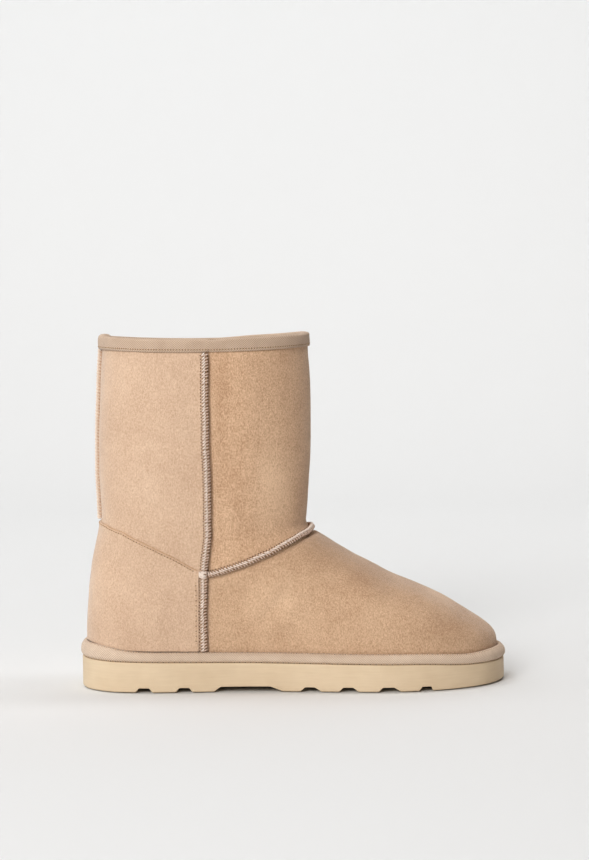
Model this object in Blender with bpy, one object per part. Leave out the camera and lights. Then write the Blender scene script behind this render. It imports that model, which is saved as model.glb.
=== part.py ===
"""Right sheepskin boot, a short pull-on with a foam sole, standing empty and unbent.

Metres. +X is the toe, +Z is up, and the outer side of the foot is at -Y.
"""

import math

import bmesh
import bpy
import numpy as np

# Driving sizes
outsole_length = 0.270
ball_width = 0.104  # outsole, across the joint of the big toe
heel_width = 0.083
toe_swing = 0.004  # how far the toe's tip lies towards the inner side
heel_thickness = 0.0198  # outsole at the heel's end
toe_thickness = 0.0162  # outsole at the toe's end
toe_spring = 0.0010
toe_spring_start = 0.31  # share of outsole_length, ahead of the middle
boot_height = 0.2230  # to the collar's front and back
collar_dip = 0.0027  # how far the rim drops at each side
instep_height = 0.1015  # where the vamp turns up into the leg
shaft_depth = 0.132  # leg, front to back, at the instep
shaft_width = 0.100
leg_squareness = 2.25  # 2 is an ellipse, more is fuller
leg_set_in = 0.0077  # back of the ankle, in from the back of the heel
wall = 0.003  # suede bonded to its fleece backing
insole_thickness = 0.0045
insole_edge = 0.0012  # bevel round the insole's top
gap = 0.0003  # clearance between pieces that touch on the real boot
curved_gap = 0.0005  # the same where both pieces turn round the heel or the toe

# Bindings, seams and the heel counter
rand_inset = 0.0042  # foot of the upper, in from the outsole's edge
binding_overhang = 0.0010  # base binding, out past the outsole's edge
binding_height = 0.0060  # along the sides
binding_end_lift = 0.0026  # more at the toe and the heel
tape_thickness = 0.0012
tape_swell = 0.0002  # how far the folded tape bellies out
tape_drop = 0.0083  # collar binding, down the outside of the leg
counter_thickness = 0.0010
side_seam_width = 0.0042
side_seam_proud = 0.0022
instep_seam_width = 0.0034
instep_seam_proud = 0.0024
instep_seam_clear = 0.0006  # its foot bridges the hollow of the instep
back_seam_width = 0.0032
back_seam_proud = 0.0012

# Tread
notch_depth = 0.0029
arch_depth = 0.0034
bottom_round = 0.0026
top_round = 0.0006

# How finely each form is cut
around_count = 60
sole_around_count = 72
foot_rings = 17
leg_rings = 8
fine_around = 360  # the skin that seams and panels are laid on
fine_rows = 120

# Half outlines of the outsole. along: share of outsole_length from the heel. outer, inner: shares
# of the local width (heel_width at the back, ball_width at the front) from the foot's axis.
OUTLINE = [
    # along, outer, inner
    (0.000, 0.000, 0.000),
    (0.020, 0.265, 0.255),
    (0.070, 0.425, 0.410),
    (0.150, 0.495, 0.480),
    (0.250, 0.505, 0.482),
    (0.380, 0.480, 0.432),
    (0.500, 0.477, 0.400),
    (0.620, 0.490, 0.420),
    (0.720, 0.500, 0.470),
    (0.800, 0.485, 0.495),
    (0.880, 0.425, 0.450),
    (0.950, 0.310, 0.315),
    (0.985, 0.178, 0.178),
    (1.000, 0.000, 0.000),
]

# Sections of the upper. up: 0 on the sole, 1 at instep_height, 2 at the collar's rim.
# reach: 0 at the leg's front, 1 at the toe. set_in: back, as a share of leg_set_in.
# spread: share of the local width. leg: 0 has the foot's outline, 1 the leg's oval.
SECTIONS = [
    # up, reach, set_in, spread, leg
    (0.000, 1.000, 0.000, 1.000, 0.00),
    (0.110, 0.992, 0.020, 1.014, 0.00),
    (0.210, 0.956, 0.030, 1.024, 0.00),
    (0.270, 0.911, 0.050, 1.024, 0.01),
    (0.340, 0.834, 0.090, 1.014, 0.04),
    (0.420, 0.741, 0.160, 0.990, 0.10),
    (0.530, 0.575, 0.265, 0.955, 0.24),
    (0.630, 0.413, 0.390, 0.920, 0.44),
    (0.730, 0.285, 0.555, 0.895, 0.64),
    (0.820, 0.181, 0.720, 0.880, 0.82),
    (0.905, 0.088, 0.875, 0.872, 0.94),
    (0.960, 0.029, 0.955, 0.870, 0.99),
    (1.000, 0.005, 1.000, 0.875, 1.00),
    (1.060, 0.006, 1.060, 0.890, 1.00),
    (1.140, 0.014, 1.045, 0.912, 1.00),
    (1.280, 0.023, 0.965, 0.950, 1.00),
    (1.550, 0.034, 1.050, 0.985, 1.00),
    (1.800, 0.032, 1.240, 1.000, 1.00),
    (2.000, 0.021, 1.490, 1.005, 1.00),
]

# Seam lines on the skin. along: share of shaft_depth from the back of the ankle. The side seams
# start at the base binding and end at the collar tape, so the first and last up are worked out.
SIDE_SEAM = [
    # up, along
    (0.080, 0.505),
    (0.400, 0.508),
    (0.680, 0.513),
    (0.940, 0.535),
    (1.200, 0.532),
    (1.500, 0.529),
    (1.940, 0.533),
]
INSTEP_SEAM = [
    # up, along; it starts at the side seam, so the first along is worked out
    (0.668, 0.533),
    (0.743, 0.690),
    (0.833, 0.830),
    (0.900, 0.925),
]
INSTEP_TIP_UP = 0.967
HEEL_SEAM = [
    # up, along
    (1.022, 0.012),
    (0.972, 0.130),
    (0.887, 0.254),
    (0.795, 0.375),
    (0.700, 0.478),
]
HEEL_SEAM_BACK_UP = 1.035

# Outside of the base binding. high: share of its height. tuck: in from its widest line.
RAND = [
    # high, tuck
    (0.00, 0.0016),
    (0.16, 0.0003),
    (0.45, 0.0000),
    (0.74, 0.0007),
    (0.96, 0.0022),
]

# Grooves across the tread. start, end: shares of outsole_length from the middle, at the ground.
# slope_back, slope_front: run of each wall as a share of the groove's depth. deep: 1 for the arch.
NOTCHES = [
    # start, end, slope_back, slope_front, deep
    (-0.355, -0.319, 0.85, 0.85, 0),
    (-0.264, -0.228, 0.85, 0.85, 0),
    (-0.176, -0.0215, 1.15, 2.30, 1),
    (0.0150, 0.0630, 1.00, 1.45, 0),
    (0.1040, 0.1480, 0.85, 1.15, 0),
    (0.1945, 0.2455, 0.85, 1.50, 0),
    (0.2880, 0.3175, 0.60, 0.05, 0),
]


def linear(hex_colour):
    """sRGB hex to the linear colour that a shader takes."""
    parts = [int(hex_colour[i : i + 2], 16) / 255 for i in (1, 3, 5)]
    return [p / 12.92 if p < 0.04045 else ((p + 0.055) / 1.055) ** 2.4 for p in parts] + [1]


def material(name, hex_colour, roughness):
    made = bpy.data.materials.new(name)
    made.use_nodes = True
    shader = made.node_tree.nodes["Principled BSDF"]
    shader.inputs["Base Color"].default_value = linear(hex_colour)
    shader.inputs["Roughness"].default_value = roughness
    shader.inputs["Metallic"].default_value = 0
    return made


def curve_through(keys, values, at):
    """Smooth curve through table values, with each slope set by the neighbours on both sides."""
    keys, values, at = (np.asarray(a, float) for a in (keys, values, at))
    slopes = np.gradient(values, keys)
    cell = np.clip(np.searchsorted(keys, at, side="right") - 1, 0, len(keys) - 2)
    span = keys[cell + 1] - keys[cell]
    t = np.clip((at - keys[cell]) / span, 0, 1)
    start, end = values[cell], values[cell + 1]
    ahead, behind = t * t * (3 - 2 * t), t * (1 - t) ** 2
    return start + (end - start) * ahead + span * (
        slopes[cell] * behind - slopes[cell + 1] * t * t * (1 - t)
    )


def closed_curve(points, steps=24):
    """Rounded closed curve through the points, as steps points for each span."""
    points = np.asarray(points, float)
    before, after = np.roll(points, 1, 0), np.roll(points, -1, 0)
    reach_back = np.linalg.norm(points - before, axis=1)[:, None]
    reach_on = np.linalg.norm(after - points, axis=1)[:, None]
    steer = (points - before) / reach_back * reach_on + (after - points) / reach_on * reach_back
    steer /= reach_back + reach_on
    rows = []
    for i, point in enumerate(points):
        j = (i + 1) % len(points)
        t = np.linspace(0, 1, steps, endpoint=False)[:, None]
        bow = reach_on[i] * (steer[i] * t * (1 - t) ** 2 - steer[j] * t * t * (1 - t))
        rows.append(point + (points[j] - point) * t * t * (3 - 2 * t) + bow)
    return np.concatenate(rows)


def even(points, count):
    """count points, evenly along each side, from the toe's tip past the outer side to the heel."""
    points = np.roll(points, -int(np.argmax(points[:, 0])), 0)
    if points[len(points) // 4, 1] > points[-(len(points) // 4), 1]:
        points = np.roll(points[::-1], 1, 0)
    heel = int(np.argmin(points[:, 0]))
    looped = np.vstack([points, points[:1]])
    sides = []
    for side in (looped[: heel + 1], looped[heel:]):
        run = np.concatenate([[0], np.cumsum(np.linalg.norm(np.diff(side, axis=0), axis=1))])
        stops = np.linspace(0, run[-1], count // 2, endpoint=False)
        sides.append(np.stack([np.interp(stops, run, side[:, k]) for k in (0, 1)], 1))
    return np.concatenate(sides)


def outward(points):
    """Unit outward direction at each point of a closed plan curve that starts down the outer side."""
    along = np.roll(points, -1, 0) - np.roll(points, 1, 0)
    along /= np.linalg.norm(along, axis=1)[:, None]
    return np.stack([-along[:, 1], along[:, 0]], 1)


def sole_curve():
    """Fine plan outline of the outsole, centred on the origin, and the Y of the heel's axis."""
    along, outer, inner = np.array(OUTLINE).T
    x = (along - 0.5) * outsole_length
    local = np.clip((along - 0.25) / 0.5, 0, 1)
    width = heel_width + (ball_width - heel_width) * local * local * (3 - 2 * local)
    axis = toe_swing * np.clip((along - 0.55) / 0.45, 0, 1) ** 2
    outer_side = np.stack([x, axis - outer * width], 1)
    inner_side = np.stack([x, axis + inner * width], 1)
    curve = closed_curve(np.concatenate([outer_side[::-1], inner_side[1:-1]]))
    heel_axis = -(curve[:, 1].max() + curve[:, 1].min()) / 2
    curve[:, 1] += heel_axis
    curve[:, 0] *= outsole_length / np.ptp(curve[:, 0])
    curve[:, 0] -= (curve[:, 0].max() + curve[:, 0].min()) / 2
    return curve, heel_axis


SOLE_CURVE, HEEL_AXIS = sole_curve()


def plan(inset, count=around_count):
    """Outsole outline moved in by inset, evenly cut."""
    fine = even(SOLE_CURVE, 2 * fine_around)
    return even(fine - outward(fine) * inset, count)


def oval(count):
    """Plan outline of the leg, one unit long and wide, fuller than an ellipse."""
    turn = np.linspace(0, 2 * math.pi, 2 * fine_around, endpoint=False)
    across, along = np.sin(turn), np.cos(turn)
    power = 2 / leg_squareness
    x = np.sign(along) * np.abs(along) ** power
    y = -np.sign(across) * np.abs(across) ** power
    return even(np.stack([x, y], 1) / 2 + [0.5, 0], count)


def sole_top(x):
    share = x / outsole_length + 0.5
    return heel_thickness + (toe_thickness - heel_thickness) * share


rim_height = boot_height - tape_thickness - gap
seam_reach = side_seam_width / 2 + curved_gap
FOOT_PLAN = plan(rand_inset, 2 * fine_around)
heel_x, toe_x = FOOT_PLAN[:, 0].min(), FOOT_PLAN[:, 0].max()
foot_width = np.ptp(FOOT_PLAN[:, 1])
foot_middle = (FOOT_PLAN[:, 1].max() + FOOT_PLAN[:, 1].min()) / 2
ankle_x = heel_x + leg_set_in
leg_front = ankle_x + shaft_depth


def skin_ring(up, count):
    """One closed section of the upper's outer face, from the front past the outer side."""
    table = np.array(SECTIONS).T
    reach, set_in, spread, leg = (curve_through(table[0], column, up) for column in table[1:])
    back = heel_x + set_in * leg_set_in
    front = leg_front + reach * (toe_x - leg_front)
    foot = plan(rand_inset, count)
    foot_share = np.stack([(foot[:, 0] - heel_x) / (toe_x - heel_x), foot[:, 1] - foot_middle], 1)
    foot_share[:, 1] /= foot_width
    shape = (1 - leg) * foot_share + leg * oval(count)
    width = spread * ((1 - leg) * foot_width + leg * shaft_width)
    x = back + shape[:, 0] * (front - back)
    y = shape[:, 1] * width + (1 - leg) * foot_middle + leg * HEEL_AXIS
    seat = sole_top(x) + gap
    lower = seat + min(up, 1) * (instep_height - seat)
    dip = collar_dip * (2 * shape[:, 1]) ** 2
    z = lower + max(up - 1, 0) * (rim_height - dip - instep_height)
    return np.stack([x, y, z], 1)


def skin_faces_out(grid):
    """Outward unit directions of a grid of rings."""
    around = np.roll(grid, -1, 1) - np.roll(grid, 1, 1)
    rising = np.gradient(grid, axis=0)
    out = np.cross(rising, around)
    return out / np.linalg.norm(out, axis=2)[:, :, None]


FINE_SKIN = np.array([skin_ring(up, fine_around) for up in np.linspace(0, 2, fine_rows + 1)])
FINE_OUT = skin_faces_out(FINE_SKIN)


def fine_row(up):
    """The fine ring below a height, and how far the height lies towards the next one."""
    row = min(max(float(up), 0), 2) * fine_rows / 2
    low = min(int(row), fine_rows - 1)
    return low, row - low


def on_skin(around, up, proud=0.0):
    """Point at a share around the boot (0 front, 0.5 back) and a height, proud of the skin."""
    low, v = fine_row(up)
    column = (around % 1) * fine_around
    left = int(column) % fine_around
    right = (left + 1) % fine_around
    u = column - int(column)

    def mixed(grid):
        lower = grid[low, left] * (1 - u) + grid[low, right] * u
        upper = grid[low + 1, left] * (1 - u) + grid[low + 1, right] * u
        return lower * (1 - v) + upper * v

    out = mixed(FINE_OUT)
    return mixed(FINE_SKIN) + out / np.linalg.norm(out) * proud


def around_at(along, up, side):
    """Share around the boot of a point at a depth along the leg, on the outer or inner side."""
    x = ankle_x + along * shaft_depth
    low, v = fine_row(up)
    ring = FINE_SKIN[low, :, 0] * (1 - v) + FINE_SKIN[low + 1, :, 0] * v
    half = fine_around // 2
    shares = np.arange(fine_around + 1) / fine_around
    if side == "outer":
        return float(np.interp(-x, -ring[: half + 1], shares[: half + 1]))
    return float(np.interp(x, np.append(ring[half:], ring[0]), shares[half:]))


def shell(name, rows, finish, around=True, section=True):
    """Solid from rows of points. around closes each row, and section closes the last row to the first."""
    rows = np.asarray(rows)
    height, width = rows.shape[:2]
    mesh = bmesh.new()
    points = [[mesh.verts.new(point) for point in row] for row in rows]
    for i in range(height if section else height - 1):
        for j in range(width if around else width - 1):
            k, m = (i + 1) % height, (j + 1) % width
            mesh.faces.new((points[i][j], points[i][m], points[k][m], points[k][j]))
    if section and not around:
        mesh.faces.new([row[0] for row in points])
        mesh.faces.new([row[-1] for row in points])
    if around and not section:
        for row in (points[0], points[-1]):
            ladder(mesh, row)
    bmesh.ops.recalc_face_normals(mesh, faces=mesh.faces)
    if mesh.calc_volume(signed=True) < 0:
        bmesh.ops.reverse_faces(mesh, faces=mesh.faces)
    data = bpy.data.meshes.new(name)
    mesh.to_mesh(data)
    mesh.free()
    data.shade_smooth()
    data.set_sharp_from_angle(angle=math.radians(40))
    data.materials.append(finish)
    piece = bpy.data.objects.new(name, data)
    bpy.context.collection.objects.link(piece)
    return piece


def ladder(mesh, row):
    """Closes a plan outline with strips from its outer side to its inner side."""
    count = len(row)
    half = count // 2
    for j in range(half):
        strip = [row[j], row[j + 1], row[(count - j - 1) % count], row[(count - j) % count]]
        kept = [point for i, point in enumerate(strip) if point not in strip[:i]]
        mesh.faces.new(kept)


def flat_out(plan_points):
    return np.column_stack([outward(plan_points), np.zeros(len(plan_points))])


def make_upper(finish):
    """Hollow upper with a wall of even thickness, open at the collar and under the foot."""
    foot_ups = 1 - np.linspace(1, 0, foot_rings) ** 1.25
    leg_ups = 1 + np.linspace(0, 1, leg_rings + 1)[1:] ** 1.3
    ups = np.concatenate([foot_ups, leg_ups])
    outer = np.array([skin_ring(up, around_count) for up in ups])
    out = skin_faces_out(outer)
    for edge in (0, -1):
        out[edge] = flat_out(outer[edge, :, :2])
    inner = outer - out * wall
    inner[:, :, 2] = np.maximum(inner[:, :, 2], outer[0, :, 2])
    return shell("upper", np.concatenate([outer, inner[::-1]]), finish)


def make_outsole(finish):
    """Foam outsole with rounded edges, a wedge top, toe spring and grooves across its tread."""

    def level(inset, height, under):
        x, y = plan(inset, sole_around_count).T
        spring_from = toe_spring_start * outsole_length
        lift = toe_spring * np.clip((x - spring_from) / (outsole_length / 2 - spring_from), 0, 1) ** 2
        z = height + lift if under else sole_top(x) - height
        return np.stack([x, y, z], 1)

    corner = bottom_round * (1 - math.sqrt(0.5))
    rows = [
        level(bottom_round, 0, True),
        level(corner, corner, True),
        level(0, bottom_round, True),
        level(0, top_round, False),
        level(top_round, 0, False),
    ]
    sole = shell("outsole", rows, finish, section=False)
    for number, (start, end, slope_back, slope_front, deep) in enumerate(NOTCHES):
        depth = arch_depth if deep else notch_depth
        cut_groove(sole, number, start, end, slope_back, slope_front, depth)
    return sole


def cut_groove(sole, number, start, end, slope_back, slope_front, depth):
    """Cuts one groove across the tread with a prism whose walls slope."""
    below = 0.002
    run_back, run_front = slope_back * (depth + below), slope_front * (depth + below)
    first = start * outsole_length - slope_back * below
    last = end * outsole_length + slope_front * below
    outline = [
        (first, -below),
        (first + run_back, depth),
        (last - run_front, depth),
        (last, -below),
    ]
    rows = [[(x, side * ball_width, z) for x, z in outline] for side in (-1, 1)]
    cutter = shell(f"groove_cutter_{number}", np.swapaxes(rows, 0, 1), None, around=False)
    cutter.hide_render = True
    cutter.display_type = "WIRE"
    cut = sole.modifiers.new(f"groove {number}", "BOOLEAN")
    cut.operation = "DIFFERENCE"
    cut.solver = "EXACT"
    cut.object = cutter


def make_insole(finish):
    """Sock lining board that fills the foot of the upper."""
    inset = rand_inset + wall + curved_gap
    rows = []
    levels = ((gap, 0), (insole_thickness - insole_edge, 0), (insole_thickness, insole_edge))
    for height, more in levels:
        x, y = plan(inset + more).T
        rows.append(np.stack([x, y, sole_top(x) + height], 1))
    return shell("insole", rows, finish, section=False)


def make_base_binding(finish):
    """Bound rand between upper and outsole, bulging past both, and taller at the toe and the heel."""
    edge = plan(0)
    out = flat_out(edge)
    end_share = np.clip((np.abs(edge[:, 0]) / (outsole_length / 2) - 0.80) / 0.20, 0, 1) ** 2
    height = binding_height + binding_end_lift * end_share * (3 - 2 * end_share)
    seat = sole_top(edge[:, 0]) + gap
    outer_foot = np.column_stack([edge, seat])
    ring_ups = height / (instep_height - seat)
    inner_top = np.array([skin_ring(up, around_count)[j] for j, up in enumerate(ring_ups)])
    inner_mid = np.array([skin_ring(up / 2, around_count)[j] for j, up in enumerate(ring_ups)])
    inner_foot = skin_ring(0, around_count)
    clear = out * curved_gap
    rise = np.zeros_like(out)
    rise[:, 2] = height
    outside = [outer_foot + out * (binding_overhang - tuck) + rise * high for high, tuck in RAND]
    rows = [inner_foot + clear, *outside, inner_top + clear, inner_mid + clear]
    return shell("base_binding", rows, finish)


def tape_foot_up():
    """Height of the collar tape's lower edge, as an up of SECTIONS."""
    return 2 - (tape_drop - tape_thickness - gap) / (rim_height - instep_height)


def make_collar_binding(finish):
    """Tape folded over the collar's rim, down the outside and the inside."""
    rim = skin_ring(2, around_count)
    low = skin_ring(tape_foot_up(), around_count)
    out = flat_out(rim[:, :2])
    proud, deep = gap + tape_thickness, wall + gap + tape_thickness
    up = np.array([0, 0, 1])
    rows = [
        low + out * gap,
        low + out * proud,
        (low + rim) / 2 + out * (proud + tape_swell),
        rim + out * proud - up * tape_swell,
        rim + out * (proud * 0.35) + up * (gap + tape_thickness * 0.85),
        rim - out * (wall * 0.5) + up * (gap + tape_thickness),
        rim - out * (deep - proud * 0.65) + up * (gap + tape_thickness * 0.85),
        rim - out * deep - up * tape_swell,
        low - out * (deep + tape_swell),
        low - out * (wall + gap * 1.5),
        rim - out * (wall + gap) + up * gap,
        rim + out * gap + up * gap,
    ]
    return shell("collar_binding", rows, finish)


def raised_seam(name, path, width, proud, finish, clear=gap):
    """Rounded ridge along a path of (around, up) stations that lies on the skin."""
    centres = np.array([on_skin(around, up) for around, up in path])
    tops = np.array([on_skin(around, up, 1) for around, up in path])
    out = tops - centres
    along = np.gradient(centres, axis=0)
    across = np.cross(along, out)
    across /= np.linalg.norm(across, axis=1)[:, None]
    profile = [(-0.5, 0.0), (-0.46, 0.55), (-0.20, 1.0), (0.20, 1.0), (0.46, 0.55), (0.5, 0.0)]
    rows = [centres + across * (side * width) + out * (clear + high * proud) for side, high in profile]
    return shell(name, rows, finish, around=False)


def side_seam_line():
    """Heights and depths of a side seam, from the base binding to the collar tape."""
    ups, alongs = np.array(SIDE_SEAM).T
    seat = sole_top(ankle_x + alongs[0] * shaft_depth) + gap
    ups[0] = (binding_height + 2 * curved_gap) / (instep_height - seat)
    ups[-1] = tape_foot_up() - curved_gap / (rim_height - instep_height)
    return ups, alongs


def smooth_path(arounds, ups, count):
    """Even steps along a line of (around, up) stations."""
    marks = np.linspace(0, 1, len(ups))
    steps = np.linspace(0, 1, count)
    return np.stack([curve_through(marks, arounds, steps), curve_through(marks, ups, steps)], 1)


def make_side_seam(side, finish):
    ups, alongs = side_seam_line()
    arounds = [around_at(along, up, side) for up, along in zip(ups, alongs)]
    path = smooth_path(arounds, ups, 26)
    return raised_seam(f"side_seam_{side}", path, side_seam_width, side_seam_proud, finish)


def make_instep_seam(finish):
    """Raised seam over the instep, from one side seam round the front to the other."""
    ups, alongs = np.array(INSTEP_SEAM).T
    slant = 0.22 * instep_seam_width  # its square end leans against the side seam
    alongs[0] = curve_through(*side_seam_line(), ups[0]) + (seam_reach + slant) / shaft_depth
    outer = [around_at(along, up, "outer") for up, along in zip(ups, alongs)]
    inner = [around_at(along, up, "inner") - 1 for up, along in zip(ups, alongs)]
    line_around = outer + [0.0] + inner[::-1]
    line_up = [*ups, INSTEP_TIP_UP, *ups[::-1]]
    path = smooth_path(line_around, line_up, 41)
    size = (instep_seam_width, instep_seam_proud)
    return raised_seam("instep_seam", path, *size, finish, clear=instep_seam_clear)


def make_back_seam(finish):
    clear_up = curved_gap / (rim_height - instep_height)
    ups = np.linspace(HEEL_SEAM_BACK_UP + 2 * clear_up, tape_foot_up() - clear_up, 14)
    return raised_seam("back_seam", [(0.5, up) for up in ups], back_seam_width, back_seam_proud, finish)


def counter_edges(up):
    """Shares around the boot where the heel counter meets the outer and the inner side seam."""
    along = float(curve_through(*side_seam_line(), up)) - seam_reach / shaft_depth
    return around_at(along, up, "outer"), around_at(along, up, "inner")


def counter_top():
    """The heel seams as one line: shares across the counter, and the height at each."""
    line = [(0.5, HEEL_SEAM_BACK_UP)]
    for up, along in HEEL_SEAM:
        first, last = counter_edges(up)
        for side in ("outer", "inner"):
            line.append(((around_at(along, up, side) - first) / (last - first), up))
    return np.array(sorted(line)).T


def make_heel_counter(finish):
    """Lapped heel panel between the two side seams, under the slanting heel seams."""
    line_across, line_up = counter_top()
    lift = binding_height + binding_end_lift + 3 * gap
    low_up = lift / (instep_height - heel_thickness)
    columns = []
    for share in np.linspace(0, 1, 27):
        top = float(np.interp(share, line_across, line_up))
        ups = np.linspace(low_up, top, 9)
        arounds = []
        for up in ups:
            first, last = counter_edges(up)
            arounds.append(first + share * (last - first))
        places = list(zip(arounds, ups))
        inside = [on_skin(*place, curved_gap) for place in places]
        outside = [on_skin(*place, curved_gap + counter_thickness) for place in places]
        columns.append(inside + outside[::-1])
    return shell("heel_counter", np.swapaxes(columns, 0, 1), finish, around=False)


def clear_scene():
    for thing in list(bpy.data.objects):
        bpy.data.objects.remove(thing)


def build():
    clear_scene()
    suede = material("sand suede", "#D6B592", 0.95)
    foam = material("pale foam rubber", "#DEC9A6", 0.7)
    tape = material("taupe twill tape", "#BBA087", 0.9)
    thread = material("cream overlock thread", "#E9DDCB", 0.85)
    fleece = material("cream fleece", "#E8DCC6", 1.0)
    make_outsole(foam)
    make_insole(fleece)
    make_upper(suede)
    make_heel_counter(suede)
    make_base_binding(tape)
    make_collar_binding(tape)
    make_side_seam("outer", thread)
    make_side_seam("inner", thread)
    make_instep_seam(thread)
    make_back_seam(thread)


build()
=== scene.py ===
"""Looks of a right sheepskin boot: suede, fleece, twill tape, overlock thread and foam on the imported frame.

Metres. +X is the toe, +Z is up, and the outer side of the foot is at -Y.
"""

import math

import bpy
import numpy as np
from mathutils import Matrix, Vector, noise


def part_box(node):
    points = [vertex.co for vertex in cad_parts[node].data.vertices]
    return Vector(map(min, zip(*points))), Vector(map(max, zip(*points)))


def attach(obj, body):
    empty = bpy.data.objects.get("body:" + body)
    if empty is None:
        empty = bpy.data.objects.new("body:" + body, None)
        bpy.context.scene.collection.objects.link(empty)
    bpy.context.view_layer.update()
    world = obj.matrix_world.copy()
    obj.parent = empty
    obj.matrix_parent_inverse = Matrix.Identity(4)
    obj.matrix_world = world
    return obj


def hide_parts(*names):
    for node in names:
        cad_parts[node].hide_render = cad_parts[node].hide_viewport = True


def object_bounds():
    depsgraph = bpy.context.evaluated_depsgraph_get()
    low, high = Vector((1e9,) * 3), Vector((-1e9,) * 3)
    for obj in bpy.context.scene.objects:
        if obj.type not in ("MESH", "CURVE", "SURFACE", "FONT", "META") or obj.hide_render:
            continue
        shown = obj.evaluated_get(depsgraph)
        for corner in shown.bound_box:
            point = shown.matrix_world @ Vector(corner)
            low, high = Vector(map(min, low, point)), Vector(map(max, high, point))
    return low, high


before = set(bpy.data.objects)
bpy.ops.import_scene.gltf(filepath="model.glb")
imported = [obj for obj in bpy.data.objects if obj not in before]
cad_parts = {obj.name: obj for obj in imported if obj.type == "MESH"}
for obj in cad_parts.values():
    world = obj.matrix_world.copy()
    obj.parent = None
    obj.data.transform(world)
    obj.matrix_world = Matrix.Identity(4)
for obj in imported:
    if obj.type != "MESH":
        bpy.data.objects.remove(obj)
cad_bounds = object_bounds()

# Driving sizes, from the frame where it holds them
sole_low, sole_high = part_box("outsole")
outsole_length = sole_high.x - sole_low.x
boot_height = cad_bounds[1].z
ball_width = 0.104
heel_width = 0.083
toe_swing = 0.004
heel_thickness = 0.0198
toe_thickness = 0.0162
toe_thinning = 0.0017  # what the foam loses in front of the ball, beyond its even taper
toe_spring = 0.0006
toe_spring_start = 0.31
collar_dip = 0.0027
instep_height = 0.1015
shaft_depth = 0.132
shaft_width = 0.100
leg_squareness = 2.25
leg_set_in = 0.0077
wall = 0.003
suede_thickness = 0.0012  # the rest of the wall is the fleece
insole_thickness = 0.0045
gap = 0.0003
curved_gap = 0.0005

# Bindings, seams and the heel panel
rand_inset = 0.0042
binding_overhang = 0.0010
binding_height = 0.0060
binding_heel_lift = 0.0032
binding_toe_lift = 0.0012
tape_thickness = 0.0012
tape_drop = 0.0083
tape_overlap = 0.0011  # one end of the collar tape lies over the other
side_seam_width = 0.0042
side_seam_proud = 0.0022
instep_seam_width = 0.0034
instep_seam_proud = 0.0019
instep_seam_clear = 0.0003
back_seam_width = 0.0032
back_seam_proud = 0.0025  # from the valley that it draws into the back of the leg
panel_proud = 0.0012  # outside of the heel panel, off the skin
heel_stitch_inset = 0.0011  # from the heel panel's slanting edge
tape_stitch_height = 0.0019  # above the collar tape's lower edge

# Height in metres of one up of SECTIONS at the heel, below the instep and above it
foot_climb = 0.081
leg_climb = 0.120

# Thread
overlock_pitch = 0.0019  # about 1.5 mm on the boot, drawn coarser so that each stitch still shows
whip_pitch = 0.0020
tape_stitch = 0.00180
panel_stitch = 0.0020
puckers_pitch = 0.0031
base_stitch = 0.00340
overlock_thread = 0.00060
whip_thread = 0.00128

# Tread
notch_depth = 0.0029
arch_depth = 0.0034
top_round = 0.0006

# How finely the skin is cut
around_count = 360
foot_rows = 116
leg_rows = 116

# Lower edge of the foam, set back a little off the ground: in from the side, and up
FOAM_EDGE = [
    # inset, lift
    (0.0032, 0.0000),
    (0.0027, 0.0004),
    (0.0016, 0.0005),
    (0.0006, 0.0006),
    (0.0002, 0.0008),
    (0.0000, 0.0012),
    (0.0000, 0.0018),
]

# Half outlines of the outsole. along: share of outsole_length from the heel. outer, inner: shares
# of the local width from the foot's axis.
OUTLINE = [
    # along, outer, inner
    (0.000, 0.000, 0.000),
    (0.020, 0.265, 0.255),
    (0.070, 0.425, 0.410),
    (0.150, 0.495, 0.480),
    (0.250, 0.505, 0.482),
    (0.380, 0.480, 0.432),
    (0.500, 0.477, 0.400),
    (0.620, 0.490, 0.420),
    (0.720, 0.500, 0.470),
    (0.800, 0.485, 0.495),
    (0.880, 0.425, 0.450),
    (0.950, 0.310, 0.315),
    (0.985, 0.178, 0.178),
    (1.000, 0.000, 0.000),
]

# Sections of the upper. up: 0 on the sole, 1 at instep_height, 2 at the collar's rim.
# reach: 0 at the leg's front, 1 at the toe. set_in: back, as a share of leg_set_in.
# spread: share of the local width. leg: 0 has the foot's outline, 1 the leg's oval.
SECTIONS = [
    # up, reach, set_in, spread, leg
    (0.000, 1.000, 0.000, 1.000, 0.00),
    (0.110, 0.992, 0.020, 1.014, 0.00),
    (0.210, 0.956, 0.030, 1.024, 0.00),
    (0.270, 0.911, 0.050, 1.024, 0.01),
    (0.340, 0.834, 0.090, 1.014, 0.04),
    (0.420, 0.741, 0.160, 0.990, 0.10),
    (0.530, 0.575, 0.265, 0.955, 0.24),
    (0.630, 0.413, 0.390, 0.920, 0.44),
    (0.730, 0.285, 0.555, 0.895, 0.64),
    (0.820, 0.181, 0.720, 0.880, 0.82),
    (0.905, 0.088, 0.875, 0.872, 0.94),
    (0.960, 0.029, 0.955, 0.870, 0.99),
    (1.000, 0.005, 1.000, 0.875, 1.00),
    (1.060, 0.006, 1.060, 0.890, 1.00),
    (1.140, 0.014, 1.045, 0.912, 1.00),
    (1.280, 0.023, 0.965, 0.950, 1.00),
    (1.550, 0.034, 1.050, 0.985, 1.00),
    (1.800, 0.032, 1.240, 1.000, 1.00),
    (2.000, 0.021, 1.490, 1.005, 1.00),
]

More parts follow.
